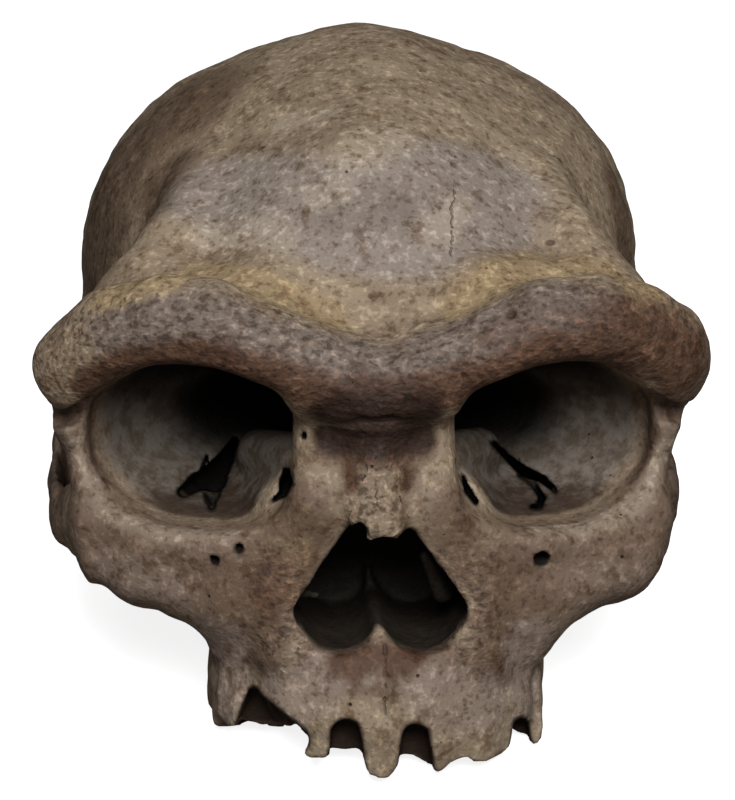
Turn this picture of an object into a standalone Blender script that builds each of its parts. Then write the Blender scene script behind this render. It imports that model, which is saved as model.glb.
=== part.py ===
"""A large fossil hominin cranium without its lower jaw, at life size, resting on its tooth row and nape.

The bone is one solid. It is modelled as clay: a distance field in millimetres, written as geometry nodes,
in which rounded masses are joined softly and hollows are carved softly. The field's axes are those of the
head held level: X to the cranium's own left, Y from the brow to the nape, Z up from the orbits' lower rim.
"""

import math

import bpy
import numpy as np
from mathutils import Vector

MM = 0.001

# The cranium rests tipped back from the level pose, by this turn about X and then this shift.
REST_TILT = math.radians(-9.95)
REST_PLACE = Vector((-0.27, -107.75, 54.7)) * MM
TABLETOP_SIZE = Vector((400, 600, 50)) * MM

BONE_COLOUR = (0.22, 0.17, 0.13, 1)
BONE_ROUGHNESS = 0.62

# The block of space that the clay is cast in, how finely, and how many triangles the solid keeps. The face,
# which lies before the first depth, keeps more of them than what lies behind the second.
CAST_LOW = Vector((-84.0, -8.0, -62.0))
CAST_HIGH = Vector((84.0, 228.0, 112.0))
CAST_STEP = 1.2
KEPT_FACES = 9700
FACE_DEPTHS = (30, 75)
FACE_SHARES = (0.15, 0.35, 0.6, 0.8, 1)
FACE_WEIGHT = 0.004

# How softly masses run into each other, and how round the edges of hollows are, in millimetres.
VAULT_BLEND = 16
CREST_BLEND = 12
HEAD_BLEND = 9
BROW_BLEND = 8
JAW_BLEND = 8
FACE_BLEND = 7
SMALL_BLEND = 6
RIM_BLEND = 4
CHAIN_BLEND = 4
HOLLOW_EDGE = 2.5
SHARP_EDGE = 1.2

# Braincase. Centres are (x, y, z), radii (x, y, z), and a chain's knots (x, y, z, radius), in millimetres.
# Forms that come in pairs are given for +X.
VAULT_CENTRE = (0, 124, 27)
VAULT_RADII = (67.5, 97.5, 74.5)
VAULT_DEPTH_BELOW = 56
PARIETAL_CENTRE = (25.5, 128, 49.5)
PARIETAL_RADII = (42.5, 68, 42)
FRONTAL_CENTRE = (0, 60, 30)
FRONTAL_RADII = (56, 42, 46)
KEEL = ((0, 62, 57, 26), (0, 110, 73.2, 26), (0, 150, 70.8, 26))
TEMPORAL_CENTRE = (51, 125, 8)
TEMPORAL_RADII = (22, 30, 22)
SUPRAMASTOID_CREST = ((68, 98, 2, 6), (69, 118, 4, 6), (67, 140, 11, 5.5))
NUCHAL_TORUS = ((0, 208, 16, 11), (24, 203, 18, 10), (46, 186, 16, 8))
CEREBELLAR_CENTRE = (24, 158, -8)
CEREBELLAR_RADII = (24, 28, 19)

# Brow ridge, from the glabella outwards. Its two ends differ.
BROW = (
    (0, 10.0, 30.5, 9.6),
    (13.5, 9.8, 34.2, 9.4),
    (24, 9.8, 38.6, 9.2),
    (36, 10.8, 44.0, 9.0),
    (46, 13.5, 44.6, 9.4),
    (55, 18.5, 41.5, 9.8),
)
BROW_END_LEFT = ((55, 18.5, 41.3, 9.9), (61.5, 23.5, 36.0, 10.5), (63.6, 25.5, 33.0, 10.0))
BROW_END_RIGHT = ((-55, 18.5, 41.5, 10.0), (-63.2, 24.5, 34.5, 10.4))
BROW_SHELF = ((0, 28, 38, 14), (24, 28, 42, 14), (42, 32, 42, 12), (52, 43, 42, 11))
TEMPORAL_LINE = ((54, 32, 42, 9), (43, 48, 54, 10), (37, 68, 65, 10))

# Face.
ORBIT_WALL = ((40.5, 30, 16.8, 26), (20, 60, 14, 17))
FACE_PLANE_POINT = (20, 11, 0)
FACE_PLANE_SLOPE = 0.36
PILLAR = ((63.6, 27, 34, 6.5), (63.4, 28, 20.5, 5.4), (58.4, 26.5, 2, 5.4))
PILLAR_FLATNESS = (0.8, 1, 1)
LOWER_RIM = ((60, 26, 0, 5.5), (48, 19, -4, 5.5), (34, 14.5, -4.5, 5.5), (22, 13.5, 0, 5.5))
CHEEK_BODY = ((57, 28.5, -5, 8.2), (51, 24, -10, 9), (41, 21, -12.5, 9.5), (32, 19, -16, 11),
              (29.5, 21, -24, 9.5))
CHEEK_SHIFT = 0.7
ARCH = ((62.2, 30, -5, 7.5), (66.4, 43, -4, 4.8), (71, 55, -2.8, 4.5), (72, 68, -2, 4.5),
        (72, 84, -0.4, 4.5), (71.6, 97, 1, 5.4))
ARCH_FLATNESS = (0.24, 1, 1)
SIDE_SHIFT = -0.7
MAXILLA_CENTRE = (20, 27, -12)
MAXILLA_RADII = (17, 22, 24)
TUBEROSITY_CENTRE = (22, 46, -22)
TUBEROSITY_RADII = (12.5, 14, 24)
NOSE_ROOT = ((0, 18.5, 28, 12), (0, 17.5, 12, 11))
NASAL_RIDGE = ((0, 14.5, 24, 6.8), (0, 9.6, 13, 6.2), (0, 4.8, 2, 5.6))
NOSE_SIDE = ((10, 17, 24, 7.6), (12.6, 12.6, 4, 8), (20, 14, -14, 7.5), (19, 13, -26, 9))
PREMAXILLA_CENTRE = (0, 15, -36)
PREMAXILLA_RADII = (20, 15.5, 16)
HARD_PALATE_CENTRE = (0, 35, -28)
HARD_PALATE_RADII = (24, 18, 6.5)
# The tooth row's (x, y) line, and its floor, which rises towards the back.
TOOTH_ROW = ((0, 8), (9, 8.5), (18, 12.5), (25.5, 19.5), (28.6, 29), (29.7, 42), (28.6, 53))
TOOTH_ROW_HEIGHT = -41
TOOTH_ROW_RADIUS = 7.8
TOOTH_ROW_STRETCH = (1, 1, 2.4)
TOOTH_ROW_FLOOR = -50.5
TOOTH_ROW_RISE = 0.12
TOOTH_ROW_RISE_FROM = 20
# The front of the floor is broken: its edge from the right side to the left, as (x, z), and how far back.
LOWER_EDGE = (
    (-37, -42.8), (-33, -45.3), (-25.7, -47.2), (-18.3, -45.6), (-15.4, -48.6), (-4.4, -48.6), (-2.5, -52.5),
    (1.3, -52.9), (3, -50.6), (11.4, -52.3), (18.6, -50), (25.7, -51), (29.3, -49.2), (34.4, -52.2),
    (37, -50),
)
LOWER_EDGE_SPAN = 37
LOWER_EDGE_TOP = -40
LOWER_EDGE_DEPTH = 20
LOWER_EDGE_BACK = (21, 30)
# Where the outer wall of a socket is gone: its outline's knots (x, z, radius) along the slope (x, z) of the
# line that looks into it, and how far back it reaches.
SOCKET_SIGHT = (0.03, -0.31)
OPEN_SOCKETS = (
    (((-7.9, -42.3, 3.2), (-7.6, -54, 4.4)), 9.5),
    (((7.0, -43.2, 2.9), (7.2, -54, 4.4)), 10),
    (((30.6, -41.0, 1.9), (30.6, -50, 3.2)), 24),
    (((-27.8, -32.8, 1.3), (-27.4, -42, 5.3)), 22),
    (((-26.0, -35.4, 1.6), (-18.8, -43.6, 3.0)), 18),
)
OPEN_SOCKETS_FRONT = -10
ROOT_RIDGES = (
    ((-14.4, 6.5, -36, 2.2), (-13.5, 4.0, -50, 2.6)),
    ((-0.6, 1.8, -36, 3.0), (-0.6, 3.0, -51, 3.2)),
    ((18, 8.0, -34, 3.0), (18.5, 8.8, -50, 2.8)),
    ((34.0, 22, -36, 2.4), (35.0, 20.5, -53.5, 1.7)),
    ((-32.4, 19, -34, 2.4), (-33.4, 20, -44, 1.8)),
)
MIDLINE_GROOVE = ((-0.5, -2.0, -25, 2.4), (0.2, -2.4, -37, 2.0))

# Skull base.
SPHENOID_CENTRE = (0, 64, 6)
SPHENOID_RADII = (20, 26, 20)
CLIVUS = ((0, 72, -8, 12), (0, 112, -19, 11))
PETROUS = ((50, 106, -12, 9), (18, 88, -14, 7))
PTERYGOID = ((17, 55, -6, 8), (17, 59, -30, 6.5))
PTERYGOID_FLATNESS = (0.42, 1, 1)
MASTOID = ((60, 130, 2, 14), (57, 126, -20, 8.5))
EMINENCE = ((67, 86, -4, 5), (46, 84, -8, 6))
CONDYLE = ((14.5, 120, -25, 6.5), (10, 129, -26, 6))

# Hollows.
ORBIT_MOUTH = (39.6, 24, 17.6)
ORBIT_APEX = (17, 60, 21)
ORBIT_HALF_WIDTH = 21.8
ORBIT_HALF_HEIGHT = 18.2
ORBIT_SQUARENESS = 3.1
ORBIT_TAPER = (1.6, 0.8)
# The orbit's corners are cut across, the upper ones by the brow: each cut's share of X and Z, how far out it
# runs, and its softness. The edge flares at the outer side, from one X to another and from one level down.
ORBIT_CORNERS = ((0.9, 1, 1.38, 0.18), (-0.46, 1, 1.14, 0.12), (1, -1, 1.42, 0.35))
ORBIT_EDGE = 4.5
ORBIT_FLARE = 3.5
ORBIT_FLARE_OUT = (48, 60)
ORBIT_FLARE_LEVELS = (30, 20)
BROW_UNDERCUT = ((52, 17.5, 30, 2.6), (60, 20, 25.6, 3), (68, 25, 22.5, 2.6))
# Low on the inner wall a slab of bone stands forward. Behind it the right orbit's wall is broken through.
ORBIT_SLAB_LOW = ((15, 23, 0, 11), (20, 44, -1, 10))
ORBIT_SLAB_HIGH = ((15.5, 26, 13, 5), (24.5, 41, 11, 5.2))
ORBIT_SIGHT = (-0.019, -0.207)
ORBIT_BREAK = ((-41.2, 10.4, 1.2), (-34.4, 13.2, 3.4), (-29.1, 22.4, 0.9))
ORBIT_BREAK_DEPTHS = (18, 66)
NOSE_LOBES = (
    ((-3.6, 0, 1.8, 1.5), (-14.8, 0, -17.2, 4.2), (-9.6, 0, -17.6, 8.3), (-3.6, 0, 1.8, 1.5)),
    ((6.4, 0, -1.6, 2.4), (13.5, 0, -16.6, 4.8), (7.9, 0, -17.6, 8.5), (6.4, 0, -1.6, 2.4)),
    ((1.2, 0, -5.0, 5.4), (-0.8, 0, -13.5, 6.7)),
)
NOSE_BACK = 48
NOSE_LEVEL = 2
NOSE_SKEW = 0.02
NOSE_WALL_CENTRE = (0, 57, -15)
NOSE_WALL_RADII = (20, 12, 19)
SEPTUM_CENTRE = (-1.1, 44, -31)
SEPTUM_HALF_SIZE = (1.6, 34, 15)
CHOANA_CENTRE = (9, 71, -23)
CHOANA_RADII = (6.5, 11, 11)
PALATE_CENTRE = (0, 38, -52)
PALATE_RADII = (21.5, 26, 20.5)
FORAMEN_MAGNUM = ((0, 139, -50, 14.5), (0, 137, 0, 12))
FORAMEN_MAGNUM_STRETCH = (1, 1.18, 1)
EAR_HOLE = ((90, 110, -3, 4.4), (56, 108, 0, 3.8))
JAW_SOCKET_CENTRE = (57, 96.5, -12)
JAW_SOCKET_RADII = (12.5, 7, 9.5)
JAW_SOCKET_ROOF_CENTRE = (59, 100, 2)
JAW_SOCKET_ROOF_RADII = (14, 13, 6)

# Tooth sockets, (x, y, radius, top), for both sides one by one, because they differ.
SOCKETS = (
    (-8, 4.6, 3.6, -39),
    (7.2, 4.8, 3.4, -40),
    (-15.5, 8.5, 3.0, -41),
    (17.0, 9.5, 3.0, -42),
    (-24, 16.5, 4.6, -37),
    (25.0, 16, 3.6, -41),
    (-27.6, 27.5, 3.6, -38),
    (28.0, 27, 3.6, -40),
    (-29.6, 36, 3.9, -40),
    (30.0, 36, 3.9, -41),
    (-29.5, 46, 4.0, -41),
    (29.7, 46, 4.0, -41),
)
SOCKET_MOUTH = -57
SOCKET_TAPER = 0.7

# Above the first level the vault leans to +X, and below the second the jaws do.
LEAN_LEVELS = (30, 5)
LEAN_SLOPE = 0.05
LEAN_MOST = 1.3

# Unevenness of the bone's surface.
LUMP_SIZE = 17
LUMP_HEIGHT = 1.5
LUMP_DETAIL = 2.0


class Nodes:
    """Short words for writing sums into a node tree."""

    def __init__(self, tree):
        self.tree = tree

    def new(self, kind, **settings):
        node = self.tree.nodes.new(kind)
        for name, value in settings.items():
            setattr(node, name, value)
        return node

    def put(self, socket, value):
        if isinstance(value, bpy.types.NodeSocket):
            self.tree.links.new(value, socket)
        else:
            socket.default_value = value

    def number(self, operation, *values):
        node = self.new("ShaderNodeMath", operation=operation)
        for socket, value in zip(node.inputs, values):
            self.put(socket, value)
        return node.outputs["Value"]

    def vector(self, operation, *values):
        node = self.new("ShaderNodeVectorMath", operation=operation)
        for socket, value in zip(node.inputs, values):
            self.put(socket, value)
        return node.outputs["Value" if operation in ("LENGTH", "DOT_PRODUCT") else "Vector"]

    def scaled(self, vector, factor):
        node = self.new("ShaderNodeVectorMath", operation="SCALE")
        self.put(node.inputs["Vector"], vector)
        self.put(node.inputs["Scale"], factor)
        return node.outputs["Vector"]

    def split(self, vector):
        node = self.new("ShaderNodeSeparateXYZ")
        self.put(node.inputs[0], vector)
        return node.outputs

    def combine(self, *values):
        node = self.new("ShaderNodeCombineXYZ")
        for socket, value in zip(node.inputs, values):
            self.put(socket, value)
        return node.outputs[0]

    def step(self, value, low, high, to_low=0.0, to_high=1.0):
        """Runs smoothly from to_low to to_high while the value goes from low to high."""
        node = self.new("ShaderNodeMapRange", interpolation_type="SMOOTHSTEP")
        for socket, item in zip(node.inputs, (value, low, high, to_low, to_high)):
            self.put(socket, item)
        return node.outputs[0]


def shape_group(name, inputs, write):
    """A small tree of its own for a shape that is used again and again. It puts out the shape's distance."""
    if name in bpy.data.node_groups:
        return bpy.data.node_groups[name]
    tree = bpy.data.node_groups.new(name, "GeometryNodeTree")
    for item, kind in inputs.items():
        tree.interface.new_socket(item, in_out="INPUT", socket_type="NodeSocket" + kind)
    tree.interface.new_socket("Distance", in_out="OUTPUT", socket_type="NodeSocketFloat")
    nodes = Nodes(tree)
    distance = write(nodes, nodes.new("NodeGroupInput").outputs)
    tree.links.new(distance, nodes.new("NodeGroupOutput").inputs["Distance"])
    return tree


def ball_distance(nodes, given):
    """The usual close estimate for an ellipsoid."""
    offset = nodes.vector("SUBTRACT", given["Place"], given["Centre"])
    inner = nodes.vector("DIVIDE", offset, given["Radii"])
    reach = nodes.vector("LENGTH", inner)
    slope = nodes.vector("LENGTH", nodes.vector("DIVIDE", inner, given["Radii"]))
    rise = nodes.number("MULTIPLY", reach, nodes.number("SUBTRACT", reach, 1.0))
    return nodes.number("DIVIDE", rise, nodes.number("MAXIMUM", slope, 1e-5))


def bar_distance(nodes, given):
    """A round bar that widens from its start along its run. Measure is the run over its squared length."""
    offset = nodes.vector("SUBTRACT", given["Place"], given["Start"])
    along = nodes.vector("DOT_PRODUCT", offset, given["Measure"])
    along = nodes.number("MINIMUM", nodes.number("MAXIMUM", along, 0.0), 1.0)
    gap = nodes.vector("LENGTH", nodes.vector("SUBTRACT", offset, nodes.scaled(given["Run"], along)))
    radius = nodes.number("MULTIPLY_ADD", along, given["Growth"], given["Radius"])
    return nodes.number("MULTIPLY", nodes.number("SUBTRACT", gap, radius), given["Scale"])


class Clay(Nodes):
    """Writes distances in millimetres as nodes of one tree. Below zero is bone."""

    def __init__(self, tree):
        super().__init__(tree)
        place = self.new("GeometryNodeInputPosition").outputs["Position"]
        x, y, z = self.split(self.vector("MULTIPLY", place, (1 / MM,) * 3))
        off_level = self.number("MAXIMUM", self.number("SUBTRACT", z, LEAN_LEVELS[0]),
                                self.number("SUBTRACT", LEAN_LEVELS[1], z))
        lean = self.number("MULTIPLY", self.number("MAXIMUM", off_level, 0.0), LEAN_SLOPE)
        lean = self.number("MINIMUM", lean, LEAN_MOST)
        x = self.number("SUBTRACT", x, lean)
        self.x, self.y, self.z = x, y, z
        self.point = self.combine(x, y, z)
        self.paired = self.combine(self.number("ABSOLUTE", x), y, z)
        self.ball_tree = shape_group("Ball", {"Place": "Vector", "Centre": "Vector", "Radii": "Vector"},
                                     ball_distance)
        self.bar_tree = shape_group("Bar", {"Place": "Vector", "Start": "Vector", "Run": "Vector",
                                            "Measure": "Vector", "Radius": "Float", "Growth": "Float",
                                            "Scale": "Float"}, bar_distance)

    def shape(self, tree, **values):
        node = self.new("GeometryNodeGroup", node_tree=tree)
        for name, value in values.items():
            self.put(node.inputs[name.capitalize()], value)
        return node.outputs["Distance"]

    def ball(self, centre, radii, at=None):
        """A mass with three radii."""
        return self.shape(self.ball_tree, place=at or self.paired, centre=centre, radii=radii)

    def bar(self, start, end, stretch=(1, 1, 1), at=None):
        """A round bar from (x, y, z, radius) to (x, y, z, radius), its section stretched along the axes."""
        a = Vector([c / s for c, s in zip(start[:3], stretch)])
        b = Vector([c / s for c, s in zip(end[:3], stretch)])
        run = b - a
        place = at or self.paired
        if stretch != (1, 1, 1):
            place = self.vector("DIVIDE", place, stretch)
        return self.shape(self.bar_tree, place=place, start=a, run=run, measure=run / run.length_squared,
                          radius=start[3], growth=end[3] - start[3], scale=min(stretch))

    def chain(self, knots, stretch=(1, 1, 1), at=None, soft=CHAIN_BLEND):
        bars = [self.bar(a, b, stretch, at) for a, b in zip(knots, knots[1:])]
        return self.join(soft, *bars)

    def lumps(self, size, height):
        noise = self.new("ShaderNodeTexNoise")
        noise.inputs["Detail"].default_value = LUMP_DETAIL
        self.put(noise.inputs["Vector"], self.point)
        noise.inputs["Scale"].default_value = 1 / size
        return self.number("MULTIPLY", self.number("SUBTRACT", noise.outputs[0], 0.5), 2 * height)

    def drill(self, slope, knots, start, end):
        """A hole with the outline of a chain (x, z, radius), which climbs by the slope (x, z) along Y."""
        knots = [(x, 0, z, radius) for x, z, radius in knots]
        at = self.vector("SUBTRACT", self.point, self.scaled((slope[0], 1, slope[1]), self.y))
        hole = self.keep_both(SHARP_EDGE, self.chain(knots, at=at), self.number("SUBTRACT", self.y, end))
        return self.keep_both(SHARP_EDGE, hole, self.number("SUBTRACT", start, self.y))

    def profile(self, value, knots, span, top, depth):
        """Runs straight from knot to knot while the value goes from -span to span."""
        node = self.new("ShaderNodeFloatCurve")
        curve = node.mapping.curves[0]
        places = [((x + span) / (2 * span), (z - top) / depth + 1) for x, z in knots]
        for place in places[1:-1]:
            curve.points.new(*place)
        for point, place in zip(curve.points, places):
            point.location = place
            point.handle_type = "VECTOR"
        node.mapping.update()
        self.put(node.inputs["Value"], self.number("MULTIPLY_ADD", value, 0.5 / span, 0.5))
        return self.number("MULTIPLY_ADD", node.outputs[0], depth, top - depth)

    def join(self, soft, *shapes):
        whole = shapes[0]
        for shape in shapes[1:]:
            whole = self.number("SMOOTH_MIN", whole, shape, soft)
        return whole

    def keep_both(self, soft, a, b):
        return self.number("SMOOTH_MAX", a, b, soft)

    def carve(self, soft, whole, *hollows):
        for hollow in hollows:
            whole = self.number("SMOOTH_MAX", whole, self.number("MULTIPLY", hollow, -1.0), soft)
        return whole


def braincase(clay):
    """The long low vault, deeper above its widest level than below it."""
    x, y, z = clay.split(clay.vector("SUBTRACT", clay.point, VAULT_CENTRE))
    below = clay.number("MULTIPLY", clay.number("MINIMUM", z, 0.0), VAULT_RADII[2] / VAULT_DEPTH_BELOW)
    egg = clay.combine(x, y, clay.number("ADD", clay.number("MAXIMUM", z, 0.0), below))
    whole = clay.join(
        VAULT_BLEND,
        clay.ball((0, 0, 0), VAULT_RADII, at=egg),
        clay.ball(PARIETAL_CENTRE, PARIETAL_RADII),
        clay.ball(FRONTAL_CENTRE, FRONTAL_RADII),
        clay.chain(KEEL),
        clay.ball(TEMPORAL_CENTRE, TEMPORAL_RADII),
        clay.ball(CEREBELLAR_CENTRE, CEREBELLAR_RADII),
    )
    return clay.join(CREST_BLEND, whole, clay.chain(SUPRAMASTOID_CREST), clay.chain(NUCHAL_TORUS))


def brow(clay):
    left_end = clay.chain(BROW_END_LEFT, at=clay.point)
    right_end = clay.chain(BROW_END_RIGHT, at=clay.point)
    ridge = clay.join(SMALL_BLEND, clay.chain(BROW), left_end, right_end)
    return clay.join(BROW_BLEND, ridge, clay.chain(BROW_SHELF), clay.chain(TEMPORAL_LINE))


def orbit_walls(clay):
    """The cone of bone round each orbit, cut off where the face slopes back to the side."""
    x, y, z = clay.split(clay.vector("SUBTRACT", clay.paired, FACE_PLANE_POINT))
    ahead = clay.number("MULTIPLY_ADD", x, FACE_PLANE_SLOPE, clay.number("MULTIPLY", y, -1.0))
    return clay.keep_both(RIM_BLEND, clay.chain(ORBIT_WALL), ahead)


def cheeks(clay):
    """Pillars beside the orbits, lower rims, cheekbones, and the arches, of which the right flares more."""
    sides, bodies = [
        clay.combine(clay.number("ABSOLUTE", clay.number("SUBTRACT", clay.x, shift)), clay.y, clay.z)
        for shift in (SIDE_SHIFT, CHEEK_SHIFT)]
    return clay.join(
        SMALL_BLEND,
        clay.chain(PILLAR, stretch=PILLAR_FLATNESS, at=sides),
        clay.chain(LOWER_RIM),
        clay.chain(CHEEK_BODY, at=bodies),
        clay.chain(ARCH, stretch=ARCH_FLATNESS, at=sides),
    )


def nose(clay):
    return clay.join(SMALL_BLEND, clay.chain(NOSE_ROOT), clay.chain(NASAL_RIDGE), clay.chain(NOSE_SIDE))


def upper_jaw(clay):
    row = [(x, y, TOOTH_ROW_HEIGHT, TOOTH_ROW_RADIUS) for x, y in TOOTH_ROW]
    jaw = clay.join(
        JAW_BLEND,
        clay.ball(MAXILLA_CENTRE, MAXILLA_RADII),
        clay.ball(TUBEROSITY_CENTRE, TUBEROSITY_RADII),
        clay.ball(PREMAXILLA_CENTRE, PREMAXILLA_RADII),
        clay.ball(HARD_PALATE_CENTRE, HARD_PALATE_RADII),
        clay.chain(row, stretch=TOOTH_ROW_STRETCH),
    )
    jaw = clay.join(SHARP_EDGE, jaw, *[clay.bar(a, b, at=clay.point) for a, b in ROOT_RIDGES])
    jaw = clay.keep_both(SHARP_EDGE, jaw, clay.number("SUBTRACT", tooth_row_floor(clay), clay.z))
    return clay.carve(HOLLOW_EDGE, jaw, clay.chain(MIDLINE_GROOVE, at=clay.point))


def tooth_row_floor(clay):
    """How low the tooth row reaches: a broken edge in front that runs into the plain floor behind."""
    edge = clay.profile(clay.x, LOWER_EDGE, LOWER_EDGE_SPAN, LOWER_EDGE_TOP, LOWER_EDGE_DEPTH)
    plain = clay.number("SUBTRACT", TOOTH_ROW_FLOOR, edge)
    plain = clay.number("MULTIPLY", plain, clay.step(clay.y, *LOWER_EDGE_BACK))
    behind = clay.number("MAXIMUM", clay.number("SUBTRACT", clay.y, TOOTH_ROW_RISE_FROM), 0.0)
    return clay.number("MULTIPLY_ADD", behind, TOOTH_ROW_RISE, clay.number("ADD", edge, plain))


def skull_base(clay):
    return clay.join(
        SMALL_BLEND,
        clay.ball(SPHENOID_CENTRE, SPHENOID_RADII),
        clay.chain(CLIVUS),
        clay.chain(PETROUS),
        clay.chain(PTERYGOID, stretch=PTERYGOID_FLATNESS),
        clay.chain(MASTOID),
        clay.chain(EMINENCE),
        clay.ball(JAW_SOCKET_ROOF_CENTRE, JAW_SOCKET_ROOF_RADII),
        clay.ball(NOSE_WALL_CENTRE, NOSE_WALL_RADII),
        clay.chain(CONDYLE),
    )


def orbit(clay):
    """A funnel with a squarish mouth, rounder inside, that narrows back towards the midline."""
    x, y, z = clay.split(clay.vector("SUBTRACT", clay.paired, ORBIT_MOUTH))
    y = clay.number("MULTIPLY_ADD", x, -FACE_PLANE_SLOPE, y)
    depth = ORBIT_APEX[1] - ORBIT_MOUTH[1] + FACE_PLANE_SLOPE * (ORBIT_MOUTH[0] - ORBIT_APEX[0])
    inward = clay.number("MINIMUM", clay.number("MAXIMUM", clay.number("DIVIDE", y, depth), 0.0), 1.0)
    x = clay.number("MULTIPLY_ADD", inward, ORBIT_MOUTH[0] - ORBIT_APEX[0], x)
    z = clay.number("MULTIPLY_ADD", inward, ORBIT_MOUTH[2] - ORBIT_APEX[2], z)
    x = clay.number("DIVIDE", x, ORBIT_HALF_WIDTH)
    z = clay.number("DIVIDE", z, ORBIT_HALF_HEIGHT)
    corners = []
    for along, up, limit, soft in ORBIT_CORNERS:
        cut = clay.number("MULTIPLY_ADD", x, along / limit, clay.number("MULTIPLY", z, up / limit))
        corners.append((soft, cut))
    x = clay.number("ABSOLUTE", x)
    z = clay.number("ABSOLUTE", z)
    across = clay.number("POWER", x, ORBIT_SQUARENESS)
    upright = clay.number("POWER", z, ORBIT_SQUARENESS)
    square = clay.number("POWER", clay.number("ADD", across, upright), 1 / ORBIT_SQUARENESS)
    round_reach = clay.vector("LENGTH", clay.combine(x, z, 0.0))
    deeper = clay.number("MINIMUM", clay.number("MULTIPLY", inward, 2.0), 1.0)
    rounding = clay.number("MULTIPLY", clay.number("SUBTRACT", round_reach, square), deeper)
    reach = clay.number("ADD", square, rounding)
    for soft, cut in corners:
        reach = clay.keep_both(soft, reach, cut)
    narrowing, curve = ORBIT_TAPER
    mouth = clay.number("SUBTRACT", 1.0, clay.number("POWER", inward, narrowing))
    mouth = clay.number("POWER", clay.number("MAXIMUM", mouth, 0.0), curve)
    return clay.number("MULTIPLY", clay.number("SUBTRACT", reach, mouth), ORBIT_HALF_HEIGHT)


def orbit_edge(clay):
    """How round the orbit's edge is. It is roundest at the outer side, below the brow."""
    out = clay.step(clay.number("ABSOLUTE", clay.x), *ORBIT_FLARE_OUT)
    flare = clay.number("MULTIPLY", out, clay.step(clay.z, *ORBIT_FLARE_LEVELS))
    return clay.number("MULTIPLY_ADD", flare, ORBIT_FLARE, ORBIT_EDGE)


def nasal_cavity(clay):
    """Two rounded lobes that run straight back from the opening, with the septum left standing."""
    skew = clay.number("MULTIPLY", clay.number("SUBTRACT", NOSE_LEVEL, clay.z), NOSE_SKEW)
    flat = clay.combine(clay.number("SUBTRACT", clay.x, skew), 0.0, clay.z)
    lobes = clay.join(SHARP_EDGE, *[clay.chain(knots, at=flat, soft=0) for knots in NOSE_LOBES])
    lobes = clay.keep_both(HOLLOW_EDGE, lobes, clay.number("SUBTRACT", clay.y, NOSE_BACK))
    return clay.carve(SHARP_EDGE, lobes, clay.ball(SEPTUM_CENTRE, SEPTUM_HALF_SIZE, at=clay.point))


def sockets(clay):
    pits = []
    for x, y, radius, top in SOCKETS:
        tip = radius * SOCKET_TAPER
        pits.append(clay.bar((x, y, SOCKET_MOUTH, radius), (x, y, top - tip, tip), at=clay.point))
    return pits


def cranium_field(clay):
    bone = clay.join(HEAD_BLEND, braincase(clay), brow(clay), orbit_walls(clay))
    bone = clay.join(FACE_BLEND, bone, skull_base(clay), nose(clay), upper_jaw(clay))
    bone = clay.join(SMALL_BLEND, bone, cheeks(clay))
    bone = clay.number("ADD", bone, clay.lumps(LUMP_SIZE, LUMP_HEIGHT))
    bone = clay.carve(orbit_edge(clay), bone, orbit(clay))
    bone = clay.carve(
        HOLLOW_EDGE,
        bone,
        clay.chain(BROW_UNDERCUT),
        clay.ball(PALATE_CENTRE, PALATE_RADII),
        clay.chain(FORAMEN_MAGNUM, stretch=FORAMEN_MAGNUM_STRETCH),
        clay.chain(EAR_HOLE),
        clay.ball(JAW_SOCKET_CENTRE, JAW_SOCKET_RADII),
        clay.ball(CHOANA_CENTRE, CHOANA_RADII),
    )
    bone = clay.join(SMALL_BLEND, bone, clay.chain(ORBIT_SLAB_LOW), clay.chain(ORBIT_SLAB_HIGH))
    breaks = [clay.drill(SOCKET_SIGHT, knots, OPEN_SOCKETS_FRONT, back) for knots, back in OPEN_SOCKETS]
    breaks.append(clay.drill(ORBIT_SIGHT, ORBIT_BREAK, *ORBIT_BREAK_DEPTHS))
    return clay.carve(SHARP_EDGE, bone, nasal_cavity(clay), *sockets(clay), *breaks)


def clay_tree():
    """A node tree that casts the field as a mesh."""
    tree = bpy.data.node_groups.new("cranium clay", "GeometryNodeTree")
    tree.interface.new_socket("Geometry", in_out="OUTPUT", socket_type="NodeSocketGeometry")
    clay = Clay(tree)
    field = cranium_field(clay)
    grid = clay.new("GeometryNodeVolumeCube")
    clay.put(grid.inputs["Density"], clay.number("MULTIPLY", field, -1.0))
    grid.inputs["Background"].default_value = -1.0
    grid.inputs["Min"].default_value = CAST_LOW * MM
    grid.inputs["Max"].default_value = CAST_HIGH * MM
    for axis, span in zip("XYZ", CAST_HIGH - CAST_LOW):
        grid.inputs["Resolution " + axis].default_value = round(span / CAST_STEP)
    skin = clay.new("GeometryNodeVolumeToMesh")
    skin.inputs["Threshold"].default_value = 0.0
    shell = clay.new("NodeGroupOutput")
    tree.links.new(grid.outputs["Volume"], skin.inputs["Volume"])
    tree.links.new(skin.outputs["Mesh"], shell.inputs[0])
    return tree


def bone_material():
    material = bpy.data.materials.new("fossil bone")
    material.use_nodes = True
    surface = material.node_tree.nodes["Principled BSDF"]
    surface.inputs["Base Color"].default_value = BONE_COLOUR
    surface.inputs["Roughness"].default_value = BONE_ROUGHNESS
    surface.inputs["Metallic"].default_value = 0.0
    return material


def tabletop_cutter():
    """A block whose top face wears the lowest points flat where the cranium rests."""
    bpy.ops.mesh.primitive_cube_add(size=1, location=(0, 0, -TABLETOP_SIZE.z / 2))
    block = bpy.context.object
    block.name = "tabletop cutter"
    block.scale = TABLETOP_SIZE
    block.hide_render = True
    block.display_type = "WIRE"
    return block


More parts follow.
